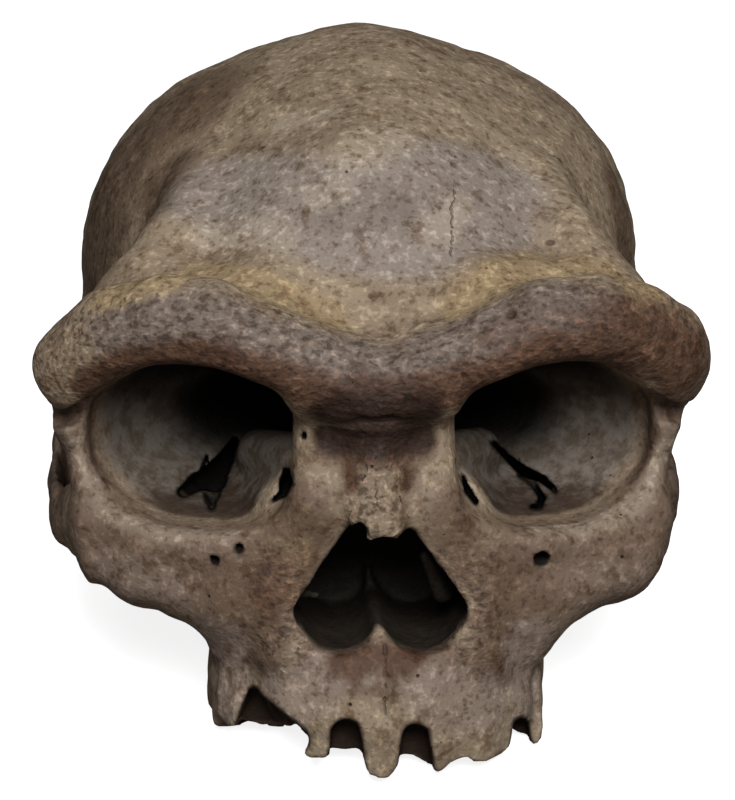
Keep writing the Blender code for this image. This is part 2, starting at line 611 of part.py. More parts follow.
def weigh_faces(cranium, shape):
    """Marks how readily faces may go: hardly in the face, freely behind it."""
    places = np.empty(len(shape.vertices) * 3, np.float32)
    shape.vertices.foreach_get("co", places)
    near, far = FACE_DEPTHS
    behind = np.clip((places.reshape(-1, 3)[:, 1] / MM - near) / (far - near), 0, 1)
    levels = np.round(behind * (len(FACE_SHARES) - 1))
    group = cranium.vertex_groups.new(name="behind the face")
    for level, share in enumerate(FACE_SHARES):
        group.add(np.flatnonzero(levels == level).tolist(), share, "REPLACE")
    return group.name


def make_cranium():
    cranium = bpy.data.objects.new("cranium", bpy.data.meshes.new("cranium"))
    bpy.context.scene.collection.objects.link(cranium)
    cast = cranium.modifiers.new("cast", "NODES")
    cast.node_group = clay_tree()
    shape = bpy.data.meshes.new_from_object(cranium.evaluated_get(bpy.context.evaluated_depsgraph_get()))
    cranium.modifiers.clear()
    cranium.data = shape
    thin = cranium.modifiers.new("fewer faces", "DECIMATE")
    thin.vertex_group = weigh_faces(cranium, shape)
    thin.vertex_group_factor = FACE_WEIGHT
    thin.ratio = KEPT_FACES / (2 * len(shape.polygons))
    worn = cranium.modifiers.new("worn flat", "BOOLEAN")
    worn.operation = "DIFFERENCE"
    worn.object = tabletop_cutter()
    cranium.rotation_euler.x = REST_TILT
    cranium.location = REST_PLACE
    shape.materials.append(bone_material())
    shape.shade_smooth()
    return cranium


def main():
    for item in list(bpy.data.objects):
        bpy.data.objects.remove(item)
    make_cranium()


main()
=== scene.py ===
"""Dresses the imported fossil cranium: finely cast, weathered bone on a pale floor in soft studio light.

The bone is clay cast from a distance field, as in the part's own source, but finer and with the small
forms added: open sockets, broken edges, fissures, foramina and the grain of the brow. The field's axes are
those of the head held level, in millimetres: X to the cranium's own left, Y from the brow to the nape,
Z up from the orbits' lower rim.
"""

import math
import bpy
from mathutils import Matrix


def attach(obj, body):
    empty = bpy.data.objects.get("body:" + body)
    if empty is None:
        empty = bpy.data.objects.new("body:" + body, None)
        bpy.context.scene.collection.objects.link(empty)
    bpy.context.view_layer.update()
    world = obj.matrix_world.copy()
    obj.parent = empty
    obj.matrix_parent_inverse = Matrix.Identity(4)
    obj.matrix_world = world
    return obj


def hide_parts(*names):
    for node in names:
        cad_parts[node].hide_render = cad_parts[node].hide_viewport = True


bl_info = {
    "name": "Fossil Cranium",
    "version": (1, 0, 0),
    "blender": (4, 5, 0),
    "location": "View3D > Sidebar > Fossil",
    "description": "Models a large fossil cranium with weathered bone, and a pale stage to look at it",
    "category": "Add Mesh",
}

import bpy
import numpy as np
from mathutils import Matrix, Vector

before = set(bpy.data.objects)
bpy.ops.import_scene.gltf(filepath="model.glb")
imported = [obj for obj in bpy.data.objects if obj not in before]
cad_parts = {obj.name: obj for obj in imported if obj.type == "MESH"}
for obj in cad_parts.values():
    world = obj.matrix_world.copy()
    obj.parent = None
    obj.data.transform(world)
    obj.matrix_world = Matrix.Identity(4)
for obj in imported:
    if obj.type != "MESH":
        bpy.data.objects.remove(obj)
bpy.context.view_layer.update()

MM = 0.001
FAR = 1000
LEAST_SLOPE = 1e-5

# The cranium rests tipped back from the level pose, by this turn about X and then this shift.
REST_TILT = math.radians(-9.95)
REST_PLACE = Vector((-0.27, -107.75, 54.7)) * MM

# The block of space that the clay is cast in.
CAST_LOW = Vector((-84.0, -8.0, -62.0))
CAST_HIGH = Vector((84.0, 228.0, 112.0))

# How softly masses run into each other, and how round the edges of hollows are, in millimetres.
VAULT_BLEND = 16
CREST_BLEND = 12
HEAD_BLEND = 9
BROW_BLEND = 8
JAW_BLEND = 8
FACE_BLEND = 7
SMALL_BLEND = 6
RIM_BLEND = 4
CHAIN_BLEND = 4
HOLLOW_EDGE = 2.5
SHARP_EDGE = 1.2
BROKEN_EDGE = 0.6

# Braincase. Centres are (x, y, z), radii (x, y, z), and a chain's knots (x, y, z, radius), in millimetres.
# Forms that come in pairs are given for +X.
VAULT_CENTRE = (0, 124, 27)
VAULT_RADII = (67.5, 97.5, 74.5)
VAULT_DEPTH_BELOW = 56
PARIETAL_CENTRE = (25.5, 128, 49.5)
PARIETAL_RADII = (42.5, 68, 42)
FRONTAL_CENTRE = (0, 60, 30)
FRONTAL_RADII = (56, 42, 46)
KEEL = ((0, 62, 57, 26), (0, 110, 73.2, 26), (0, 150, 70.8, 26))
TEMPORAL_CENTRE = (51, 125, 8)
TEMPORAL_RADII = (22, 30, 22)
SUPRAMASTOID_CREST = ((68, 98, 2, 6), (69, 118, 4, 6), (67, 140, 11, 5.5))
NUCHAL_TORUS = ((0, 208, 16, 11), (24, 203, 18, 10), (46, 186, 16, 8))
CEREBELLAR_CENTRE = (24, 158, -8)
CEREBELLAR_RADII = (24, 28, 19)

# Brow ridge, from the glabella outwards. Its two ends differ.
BROW = (
    (0, 10.0, 30.5, 9.6),
    (13.5, 9.8, 34.2, 9.4),
    (24, 9.8, 38.6, 9.2),
    (36, 10.8, 44.0, 9.0),
    (46, 13.5, 44.6, 9.4),
    (55, 18.5, 41.5, 9.8),
)
BROW_END_LEFT = ((55, 18.5, 41.3, 9.9), (61.5, 23.5, 36.0, 10.5), (63.6, 25.5, 33.0, 10.0))
BROW_END_RIGHT = ((-55, 18.5, 41.5, 10.0), (-63.2, 24.5, 34.5, 10.4))
BROW_SHELF = ((0, 28, 38, 14), (24, 28, 42, 14), (42, 32, 42, 12), (52, 43, 42, 11))
TEMPORAL_LINE = ((54, 32, 42, 9), (43, 48, 54, 10), (37, 68, 65, 10))

# Face.
ORBIT_WALL = ((40.5, 30, 16.8, 26), (20, 60, 14, 17))
FACE_PLANE_POINT = (20, 11, 0)
FACE_PLANE_SLOPE = 0.36
PILLAR = ((63.6, 27, 34, 6.5), (63.4, 28, 20.5, 5.4), (58.4, 26.5, 2, 5.4))
PILLAR_FLATNESS = (0.8, 1, 1)
LOWER_RIM = ((60, 26, 0, 5.5), (48, 19, -4, 5.5), (34, 14.5, -4.5, 5.5), (22, 13.5, 0, 5.5))
CHEEK_BODY = ((57, 28.5, -5, 8.2), (51, 24, -10, 9), (41, 21, -12.5, 9.5), (32, 19, -16, 11),
              (29.5, 21, -24, 9.5))
CHEEK_SHIFT = 0.7
ARCH = ((62.2, 30, -5, 7.5), (66.4, 43, -4, 4.8), (71, 55, -2.8, 4.5), (72, 68, -2, 4.5),
        (72, 84, -0.4, 4.5), (71.6, 97, 1, 5.4))
ARCH_FLATNESS = (0.24, 1, 1)
SIDE_SHIFT = -0.7
MAXILLA_CENTRE = (20, 27, -12)
MAXILLA_RADII = (17, 22, 24)
TUBEROSITY_CENTRE = (22, 46, -22)
TUBEROSITY_RADII = (12.5, 14, 24)
NOSE_ROOT = ((0, 18.5, 28, 12), (0, 17.5, 12, 11))
NASAL_RIDGE = ((0, 14.5, 24, 6.8), (0, 9.6, 13, 6.2), (0, 4.8, 2, 5.6))
NOSE_SIDE = ((10, 17, 24, 7.6), (12.6, 12.6, 4, 8), (20, 14, -14, 7.5), (19, 13, -26, 9))
PREMAXILLA_CENTRE = (0, 15, -36)
PREMAXILLA_RADII = (20, 15.5, 16)
HARD_PALATE_CENTRE = (0, 35, -28)
HARD_PALATE_RADII = (24, 18, 6.5)
# The tooth row's (x, y) line, and its lower edge, which rises towards the back.
TOOTH_ROW = ((0, 8), (9, 8.5), (18, 12.5), (25.5, 19.5), (28.6, 29), (29.7, 42), (28.6, 53))
TOOTH_ROW_HEIGHT = -41
TOOTH_ROW_RADIUS = 7.8
TOOTH_ROW_STRETCH = (1, 1, 2.4)
TOOTH_ROW_FLOOR = -50.5
TOOTH_ROW_RISE = 0.12
TOOTH_ROW_RISE_FROM = 20
# The front of the floor is broken: its edge from the right side to the left, as (x, z), and how far back.
LOWER_EDGE = (
    (-37, -42.6), (-34.8, -43.9), (-33.2, -45.4), (-31.5, -44.2), (-28.4, -46.2), (-25.7, -47.4),
    (-22.6, -46.4), (-19.6, -46.2), (-18.0, -45.4), (-16.6, -47.8), (-15.2, -48.6), (-11.7, -48.2),
    (-4.4, -48.6), (-3.7, -50.6), (-2.5, -52.5), (1.3, -52.9), (3.0, -50.6), (6.0, -50.0), (8.7, -51.1),
    (11.4, -52.5), (13.9, -51.3), (15.2, -50.2), (18.6, -49.8), (20.2, -51.0), (22.5, -51.3),
    (25.7, -51.0), (27.5, -50.0), (29.0, -49.0), (32.2, -50.0), (34.6, -52.0), (37, -49.0),
)
LOWER_EDGE_SPAN = 37
LOWER_EDGE_TOP = -40
LOWER_EDGE_DEPTH = 20
LOWER_EDGE_BACK = (21, 30)
EDGE_CRUMBLE = (2.2, 0.9, 1.0)

# Where the outer wall of a socket is gone: its outline's knots (x, z, radius) along the line of sight, and
# how far back it reaches.
SIGHT_AT_TEETH = (0.03, -0.31)
OPEN_SOCKETS = (
    (((-7.9, -42.3, 3.2), (-7.6, -54, 4.4)), 9.5),
    (((7.0, -43.2, 2.9), (7.2, -54, 4.4)), 10),
    (((30.6, -41.0, 1.9), (30.6, -50, 3.2)), 24),
    (((-27.8, -32.8, 1.3), (-27.4, -42, 5.3)), 22),
    (((-26.0, -35.4, 1.6), (-18.8, -43.6, 3.0)), 18),
)
OPEN_SOCKETS_FRONT = -10
ROOT_RIDGES = (
    ((-14.4, 6.5, -36, 2.2), (-13.5, 4.0, -50, 2.6)),
    ((-0.6, 1.8, -36, 3.0), (-0.6, 3.0, -51, 3.2)),
    ((18, 8.0, -34, 3.0), (18.5, 8.8, -50, 2.8)),
    ((34.0, 22, -36, 2.4), (35.0, 20.5, -53.5, 1.7)),
    ((-32.4, 19, -34, 2.4), (-33.4, 20, -44, 1.8)),
)
MIDLINE_GROOVE = ((-0.5, -2.0, -25, 2.4), (0.2, -2.4, -37, 2.0))
BOSSES = ((-2.6, 2.2, -31, 2.6), (2.6, 2.2, -31, 2.6))

# Small forms of the orbits: the swelling low on their inner wall, then holes and cracks, each with the slope
# of its line of sight, knots (x, z, radius), and how far back it starts and ends.
ORBIT_SLAB_LOW = ((15, 23, 0, 11), (20, 44, -1, 10))
ORBIT_SLAB_HIGH = ((15.5, 26, 13, 5), (24.5, 41, 11, 5.2))
SIGHT_HOLES = (
    ((-0.019, -0.207), ((-41.2, 10.4, 1.2), (-37.5, 12.7, 2.2), (-34.4, 13.4, 3.2), (-31.6, 17.6, 2.0),
                        (-29.1, 22.4, 0.8)), (18, 70)),
    ((-0.019, -0.207), ((-34.6, 12.4, 3.0), (-34.9, 6.8, 0.7)), (18, 60)),
    ((-0.019, -0.207), ((-37.0, 14.0, 0.7), (-35.6, 18.6, 0.3)), (18, 60)),
    ((0.009, -0.207), ((-18.9, 15.0, 0.7), (-19.0, 12.4, 1.5), (-19.7, 9.9, 0.9), (-21.8, 8.6, 0.4)),
     (4, 34)),
    ((0.1, -0.206), ((23.8, 21.2, 0.5), (27.2, 17.6, 0.8), (30.9, 14.5, 1.3), (35.2, 12.6, 0.9),
                     (37.9, 9.9, 0.5)), (20, 58)),
    ((0.1, -0.206), ((30.0, 13.9, 0.6), (32.3, 12.3, 0.7), (33.8, 10.2, 0.7), (34.8, 8.4, 0.8),
                     (34.2, 6.4, 0.7), (32.6, 6.4, 0.6)), (12, 48)),
    ((0.079, -0.212), ((18.0, 13.6, 0.4), (18.9, 10.6, 0.7), (20.9, 7.8, 0.6)), (4, 26)),
)
# Plates left standing in the nose, and small holes and pits of the face: (x, y, z, radius) at both ends.
NOSE_PLATES = (
    ((10.6, 17, -7.5, 1.3), (14.2, 20, -16.6, 2.3)),
    ((14.2, 20, -16.6, 2.1), (18.6, 24, -15.0, 1.6)),
    ((-18.8, 9, -13.4, 1.3), (-13.2, 12, -14.9, 0.7)),
)
FORAMINA = (
    ((-34.9, 6.5, -7.2, 1.0), (-34.5, 16, -3.5, 0.9)),
    ((-29.5, 6.5, -4.3, 0.9), (-29.2, 15, -1.5, 0.8)),
    ((35.4, 6.0, -8.0, 1.9), (35.0, 17, -3.0, 1.3)),
    ((-15.8, 7.2, 20.5, 0.7), (-14.5, 12, 20.5, 0.7)),
)
BROW_CREASE = ((-8.0, 3.8, 24.0, 0.6), (-3, 1.6, 24.6, 0.9), (3, 1.6, 24.7, 1.0), (7, 3.6, 24.0, 0.6))
PITS = (
    (36.6, 4.2, 50.7, 0.9), (27.4, 3.9, 47.2, 1.2), (23.7, 4.4, 46.3, 0.9), (17.3, 0.5, 37.7, 1.2),
    (18.2, 0.2, 34.3, 0.9), (-24.9, 59.9, 77.1, 0.9), (-22.8, 76.3, 86.9, 0.8), (31.5, 30.3, 56.9, 1.4),
    (29.4, 31.6, 57.6, 1.0), (17.8, 46.4, 74.7, 0.8), (38.9, 38.8, 58.2, 0.8),
)

# Skull base.
SPHENOID_CENTRE = (0, 64, 6)
SPHENOID_RADII = (20, 26, 20)
CLIVUS = ((0, 72, -8, 12), (0, 112, -19, 11))
PETROUS = ((50, 106, -12, 9), (18, 88, -14, 7))
PTERYGOID = ((17, 55, -6, 8), (17, 59, -30, 6.5))
PTERYGOID_FLATNESS = (0.42, 1, 1)
MASTOID = ((60, 130, 2, 14), (57, 126, -20, 8.5))
EMINENCE = ((67, 86, -4, 5), (46, 84, -8, 6))
CONDYLE = ((14.5, 120, -25, 6.5), (10, 129, -26, 6))

# Hollows.
ORBIT_MOUTH = (39.6, 24, 17.6)
ORBIT_APEX = (17, 60, 21)
ORBIT_HALF_WIDTH = 21.8
ORBIT_HALF_HEIGHT = 18.2
ORBIT_SQUARENESS = 3.1
ORBIT_TAPER = (1.6, 0.8)
# How fast it turns round inwards.
ORBIT_ROUNDING = 2.0
# The orbit's corners are cut across, the upper ones by the brow: each cut's share of X and Z, how far out it
# runs, and its softness. The edge flares at the outer side, from one X to another and from one level down.
ORBIT_CORNERS = ((0.9, 1, 1.38, 0.18), (-0.46, 1, 1.14, 0.12), (1, -1, 1.42, 0.35))
ORBIT_EDGE = 4.5
ORBIT_FLARE = 3.5
ORBIT_FLARE_OUT = (48, 60)
ORBIT_FLARE_LEVELS = (30, 20)
BROW_UNDERCUT = ((52, 17.5, 30, 2.6), (60, 20, 25.6, 3), (68, 25, 22.5, 2.6))
NOSE_LOBES = (
    ((-3.6, 0, 1.8, 1.5), (-14.8, 0, -17.2, 4.2), (-9.6, 0, -17.6, 8.3), (-3.6, 0, 1.8, 1.5)),
    ((6.4, 0, -1.6, 2.4), (13.5, 0, -16.6, 4.8), (7.9, 0, -17.6, 8.5), (6.4, 0, -1.6, 2.4)),
    ((1.2, 0, -5.0, 5.4), (-0.8, 0, -13.5, 6.7)),
)
NOSE_RAGGED = (3.0, 0.75, 2.0)
NOSE_RAGGED_EDGE = (5, 14)
NOSE_RAGGED_LEAST = 0.15
NOSE_BACK = 48
NOSE_LEVEL = 2
NOSE_SKEW = 0.02
NOSE_WALL_CENTRE = (0, 57, -15)
NOSE_WALL_RADII = (20, 12, 19)
SEPTUM_CENTRE = (-1.1, 44, -31)
SEPTUM_HALF_SIZE = (1.3, 34, 15)
CHOANA_CENTRE = (9, 71, -23)
CHOANA_RADII = (6.5, 11, 11)
PALATE_CENTRE = (0, 38, -52)
PALATE_RADII = (21.5, 26, 20.5)
FORAMEN_MAGNUM = ((0, 139, -50, 14.5), (0, 137, 0, 12))
FORAMEN_MAGNUM_STRETCH = (1, 1.18, 1)
EAR_HOLE = ((90, 110, -3, 4.4), (56, 108, 0, 3.8))
JAW_SOCKET_CENTRE = (57, 96.5, -12)
JAW_SOCKET_RADII = (12.5, 7, 9.5)
JAW_SOCKET_ROOF_CENTRE = (59, 100, 2)
JAW_SOCKET_ROOF_RADII = (14, 13, 6)

# Tooth sockets, (x, y, radius, top), for both sides one by one, because they differ.
SOCKETS = (
    (-8, 4.6, 3.6, -39),
    (7.2, 4.8, 3.4, -40),
    (-15.5, 8.5, 3.0, -41),
    (17.0, 9.5, 3.0, -42),
    (-24, 16.5, 4.6, -37),
    (25.0, 16, 3.6, -41),
    (-27.6, 27.5, 3.6, -38),
    (28.0, 27, 3.6, -40),
    (-29.6, 36, 3.9, -40),
    (30.0, 36, 3.9, -41),
    (-29.5, 46, 4.0, -41),
    (29.7, 46, 4.0, -41),
)
SOCKET_MOUTH = -57
SOCKET_TAPER = 0.7

# Above the first level the vault leans to +X, and below the second the jaws do.
LEAN_LEVELS = (30, 5)
LEAN_SLOPE = 0.05
LEAN_MOST = 1.3

# Unevenness of the bone's surface, as (size, height, detail) in millimetres.
LUMPS = (17, 1.5, 2.0)
HOLE_RAGGED = (2.0, 0.5, 1.0)
DENTS = (5.5, 0.25, 1.0)
GRAIN = (2.0, 0.22, 1.0)
GRAIN_STRETCH = (1.7, 1, 0.9)
GRAIN_BACK = (16, 42)
GRAIN_LEAST = 0.25

# The camera, in the level head's frame: its place in millimetres, how far it looks down and aside, its lens.
CAMERA_PLACE = Vector((-24.1, -551.5, 127.2))
CAMERA_DOWN = math.radians(10)
CAMERA_ASIDE = math.radians(-2.3)
CAMERA_LENS = 131.66
CAMERA_SENSOR = 36
CAMERA_NEAR = 0.01

# The stage, in metres. The floor glows a little for the camera, and sends little light back up.
KEY_SIZE = 0.6
KEY_PLACE = (0.06, -0.9, 0.86)
LIGHT_TARGET = (0, -0.05, 0.07)
FLOOR_RADIUS = 4
FLOOR_CORNERS = 96
FLOOR_ROUGHNESS = 0.9
FLOOR_GLOW = 0.85
FLOOR_RETURN = (0.16, 0.15, 0.14, 1)
WHITE = (1, 1, 1, 1)

# Mesh faces are taken away mostly behind the bone's face, which ends at this Y and fades over this depth.
# Points weigh from the least there to 1 at the back, in so many steps, and this is how strongly that pulls.
FACE_END = 62
FACE_FADE = 30
BACK_STEPS = 4
FACE_WEIGHT = 0.02
BACK_PULL = 4e-6
# Hollows are measured from neighbours no closer than this, in square millimetres, and averaged so often.
SHORTEST_EDGE = 1e-4
CAVITY_ROUNDS = 3

# How each hollow's mark fades in, by the distance to its wall in millimetres, and in the nose by Y too.
# Between two Y values the nose's mark grows by the last value, and so takes in the crest between its lobes.
ORBIT_MARK = (1.6, -0.2)
NOSE_MARK = (0.9, -0.2)
NOSE_MARK_DEPTH = (2, 9)
NOSE_CREST = (8, 13, 0.0, 2.4)
SOCKET_MARK = (1.0, -0.1)
HOLE_MARK = (0.5, -0.1)
# A stroke ends at this many times its reach, and its middle is raised so that it has a full core.
STROKE_REACH = 1.35
STROKE_CORE = 1.25


class Nodes:
    """Short words for writing sums into a node tree."""

    def __init__(self, tree):
        self.tree = tree

    def new(self, kind, **settings):
        node = self.tree.nodes.new(kind)
        for name, value in settings.items():
            setattr(node, name, value)
        return node

    def put(self, socket, value):
        if isinstance(value, bpy.types.NodeSocket):
            self.tree.links.new(value, socket)
        else:
            socket.default_value = value

    def number(self, operation, *values):
        node = self.new("ShaderNodeMath", operation=operation)
        for socket, value in zip(node.inputs, values):
            self.put(socket, value)
        return node.outputs["Value"]

    def vector(self, operation, *values):
        node = self.new("ShaderNodeVectorMath", operation=operation)
        for socket, value in zip(node.inputs, values):
            self.put(socket, value)
        return node.outputs["Value" if operation in ("LENGTH", "DOT_PRODUCT") else "Vector"]

    def scaled(self, vector, factor):
        node = self.new("ShaderNodeVectorMath", operation="SCALE")
        self.put(node.inputs["Vector"], vector)
        self.put(node.inputs["Scale"], factor)
        return node.outputs["Vector"]

    def split(self, vector):
        node = self.new("ShaderNodeSeparateXYZ")
        self.put(node.inputs[0], vector)
        return node.outputs

    def combine(self, *values):
        node = self.new("ShaderNodeCombineXYZ")
        for socket, value in zip(node.inputs, values):
            self.put(socket, value)
        return node.outputs[0]

    def group(self, tree, **values):
        """Places a group of this tree's kind and fills its named inputs."""
        node = self.new(self.tree.bl_idname.replace("Tree", "Group"), node_tree=tree)
        for name, value in values.items():
            self.put(node.inputs[name.capitalize()], value)
        return node.outputs

    def noise(self, at, size, detail=0.0, roughness=0.5, distortion=0.0):
        """Soft random values from 0 to 1, in lumps of about the given size."""
        node = self.new("ShaderNodeTexNoise")
        self.put(node.inputs["Vector"], at)
        node.inputs["Scale"].default_value = 1 / size
        node.inputs["Detail"].default_value = detail
        node.inputs["Roughness"].default_value = roughness
        node.inputs["Distortion"].default_value = distortion
        return node.outputs[0]

    def step(self, value, low, high, to_low=0.0, to_high=1.0):
        """Runs smoothly from to_low to to_high while the value goes from low to high."""
        node = self.new("ShaderNodeMapRange", interpolation_type="SMOOTHSTEP")
        for socket, item in zip(node.inputs, (value, low, high, to_low, to_high)):
            self.put(socket, item)
        return node.outputs[0]


def shape_group(name, vectors, floats, write, kind="GeometryNodeTree"):
    """A small tree of its own for a shape that is used again and again. It puts out the shape's distance."""
    name = f"{name} {kind[:4].lower()}"
    if name in bpy.data.node_groups:
        return bpy.data.node_groups[name]
    tree = bpy.data.node_groups.new(name, kind)
    for items, socket in ((vectors, "NodeSocketVector"), (floats, "NodeSocketFloat")):
        for item in items:
            tree.interface.new_socket(item, in_out="INPUT", socket_type=socket)
    tree.interface.new_socket("Distance", in_out="OUTPUT", socket_type="NodeSocketFloat")
    nodes = Nodes(tree)
    distance = write(nodes, nodes.new("NodeGroupInput").outputs)
    tree.links.new(distance, nodes.new("NodeGroupOutput").inputs["Distance"])
    return tree


def ball_distance(nodes, given):
    """The usual close estimate for an ellipsoid."""
    offset = nodes.vector("SUBTRACT", given["Place"], given["Centre"])
    inner = nodes.vector("DIVIDE", offset, given["Radii"])
    reach = nodes.vector("LENGTH", inner)
    slope = nodes.vector("LENGTH", nodes.vector("DIVIDE", inner, given["Radii"]))
    rise = nodes.number("MULTIPLY", reach, nodes.number("SUBTRACT", reach, 1.0))
    return nodes.number("DIVIDE", rise, nodes.number("MAXIMUM", slope, LEAST_SLOPE))


def along_run(nodes, given):
    """The distance from a run, and how far along it that is. Measure is the run over its squared length."""
    offset = nodes.vector("SUBTRACT", given["Place"], given["Start"])
    along = nodes.vector("DOT_PRODUCT", offset, given["Measure"])
    along = nodes.number("MINIMUM", nodes.number("MAXIMUM", along, 0.0), 1.0)
    gap = nodes.vector("LENGTH", nodes.vector("SUBTRACT", offset, nodes.scaled(given["Run"], along)))
    return gap, along


def bar_distance(nodes, given):
    """A round bar that widens from its start along its run."""
    gap, along = along_run(nodes, given)
    radius = nodes.number("MULTIPLY_ADD", along, given["Growth"], given["Radius"])
    return nodes.number("MULTIPLY", nodes.number("SUBTRACT", gap, radius), given["Scale"])


def line_distance(nodes, given):
    return along_run(nodes, given)[0]


class Clay(Nodes):
    """Writes distances in millimetres as nodes of one tree. Below zero is bone."""

    def __init__(self, tree):
        super().__init__(tree)
        place = self.new("GeometryNodeInputPosition").outputs["Position"]
        x, y, z = self.split(self.vector("MULTIPLY", place, (1 / MM,) * 3))
        off_level = self.number("MAXIMUM", self.number("SUBTRACT", z, LEAN_LEVELS[0]),
                                self.number("SUBTRACT", LEAN_LEVELS[1], z))
        lean = self.number("MULTIPLY", self.number("MAXIMUM", off_level, 0.0), LEAN_SLOPE)
        lean = self.number("MINIMUM", lean, LEAN_MOST)
        x = self.number("SUBTRACT", x, lean)
        self.x, self.y, self.z = x, y, z
        self.point = self.combine(x, y, z)
        self.paired = self.combine(self.number("ABSOLUTE", x), y, z)
        self.ragged = self.lumps(*HOLE_RAGGED)
        self.ball_tree = shape_group("Ball", ("Place", "Centre", "Radii"), (), ball_distance)
        self.bar_tree = shape_group("Bar", ("Place", "Start", "Run", "Measure"),
                                    ("Radius", "Growth", "Scale"), bar_distance)

    def ball(self, centre, radii, at=None):
        """A mass with three radii."""
        return self.group(self.ball_tree, place=at or self.paired, centre=centre, radii=radii)["Distance"]

    def bar(self, start, end, stretch=(1, 1, 1), at=None):
        """A round bar from (x, y, z, radius) to (x, y, z, radius), its section stretched along the axes."""
        a = Vector([c / s for c, s in zip(start[:3], stretch)])
        b = Vector([c / s for c, s in zip(end[:3], stretch)])
        run = b - a
        place = at or self.paired
        if stretch != (1, 1, 1):
            place = self.vector("DIVIDE", place, stretch)
        bar = self.group(self.bar_tree, place=place, start=a, run=run, measure=run / run.length_squared,
                         radius=start[3], growth=end[3] - start[3], scale=min(stretch))
        return bar["Distance"]

    def chain(self, knots, stretch=(1, 1, 1), at=None, soft=CHAIN_BLEND):
        bars = [self.bar(a, b, stretch, at) for a, b in zip(knots, knots[1:])]
        return self.join(soft, *bars)

    def lumps(self, size, height, detail, stretch=(1, 1, 1)):
        noise = self.noise(self.vector("DIVIDE", self.point, stretch), size, detail)
        return self.number("MULTIPLY", self.number("SUBTRACT", noise, 0.5), 2 * height)

    def sighted(self, slope):
        """Places moved to y = 0 along a line of sight, whose slope (x, z) is its climb in each unit of y."""
        return self.vector("SUBTRACT", self.point, self.scaled((slope[0], 1, slope[1]), self.y))

    def drill(self, slope, knots, start, end):
        """A ragged hole with the outline of a flat chain, run along a line of sight."""
        knots = [(x, 0, z, radius) for x, z, radius in knots]
        hole = self.chain(knots, at=self.sighted(slope), soft=0)
        hole = self.number("ADD", hole, self.ragged)
        hole = self.keep_both(BROKEN_EDGE, hole, self.number("SUBTRACT", self.y, end))
        return self.keep_both(BROKEN_EDGE, hole, self.number("SUBTRACT", start, self.y))

    def profile(self, value, knots, span, top, depth):
        """Runs straight from knot to knot while the value goes from -span to span."""
        node = self.new("ShaderNodeFloatCurve")
        curve = node.mapping.curves[0]
        places = [((x + span) / (2 * span), (z - top) / depth + 1) for x, z in knots]
        for place in places[1:-1]:
            curve.points.new(*place)
        for point, place in zip(curve.points, places):
            point.location = place
            point.handle_type = "VECTOR"
        node.mapping.update()
        self.put(node.inputs["Value"], self.number("MULTIPLY_ADD", value, 0.5 / span, 0.5))
        return self.number("MULTIPLY_ADD", node.outputs[0], depth, top - depth)

    def join(self, soft, *shapes):
        whole = shapes[0]
        for shape in shapes[1:]:
            whole = self.number("SMOOTH_MIN", whole, shape, soft)
        return whole

    def keep_both(self, soft, a, b):
        return self.number("SMOOTH_MAX", a, b, soft)

    def carve(self, soft, whole, *hollows):
        for hollow in hollows:
            whole = self.number("SMOOTH_MAX", whole, self.number("MULTIPLY", hollow, -1.0), soft)
        return whole


def braincase(clay):
    """The long low vault, deeper above its widest level than below it."""
    x, y, z = clay.split(clay.vector("SUBTRACT", clay.point, VAULT_CENTRE))
    below = clay.number("MULTIPLY", clay.number("MINIMUM", z, 0.0), VAULT_RADII[2] / VAULT_DEPTH_BELOW)
    egg = clay.combine(x, y, clay.number("ADD", clay.number("MAXIMUM", z, 0.0), below))
    whole = clay.join(
        VAULT_BLEND,
        clay.ball((0, 0, 0), VAULT_RADII, at=egg),
        clay.ball(PARIETAL_CENTRE, PARIETAL_RADII),
        clay.ball(FRONTAL_CENTRE, FRONTAL_RADII),
        clay.chain(KEEL),
        clay.ball(TEMPORAL_CENTRE, TEMPORAL_RADII),
        clay.ball(CEREBELLAR_CENTRE, CEREBELLAR_RADII),
    )
    return clay.join(CREST_BLEND, whole, clay.chain(SUPRAMASTOID_CREST), clay.chain(NUCHAL_TORUS))


def brow(clay):
    left_end = clay.chain(BROW_END_LEFT, at=clay.point)
    right_end = clay.chain(BROW_END_RIGHT, at=clay.point)
    ridge = clay.join(SMALL_BLEND, clay.chain(BROW), left_end, right_end)
    return clay.join(BROW_BLEND, ridge, clay.chain(BROW_SHELF), clay.chain(TEMPORAL_LINE))


def orbit_walls(clay):
    """The cone of bone round each orbit, cut off where the face slopes back to the side."""
    x, y, z = clay.split(clay.vector("SUBTRACT", clay.paired, FACE_PLANE_POINT))
    ahead = clay.number("MULTIPLY_ADD", x, FACE_PLANE_SLOPE, clay.number("MULTIPLY", y, -1.0))
    return clay.keep_both(RIM_BLEND, clay.chain(ORBIT_WALL), ahead)


def cheeks(clay):
    """Pillars beside the orbits, lower rims, cheekbones, and the arches, of which the right flares more."""
    sides, bodies = [
        clay.combine(clay.number("ABSOLUTE", clay.number("SUBTRACT", clay.x, shift)), clay.y, clay.z)
        for shift in (SIDE_SHIFT, CHEEK_SHIFT)]
    return clay.join(
        SMALL_BLEND,
        clay.chain(PILLAR, stretch=PILLAR_FLATNESS, at=sides),
        clay.chain(LOWER_RIM),
        clay.chain(CHEEK_BODY, at=bodies),
        clay.chain(ARCH, stretch=ARCH_FLATNESS, at=sides),
    )


def nose(clay):
    return clay.join(SMALL_BLEND, clay.chain(NOSE_ROOT), clay.chain(NASAL_RIDGE), clay.chain(NOSE_SIDE))


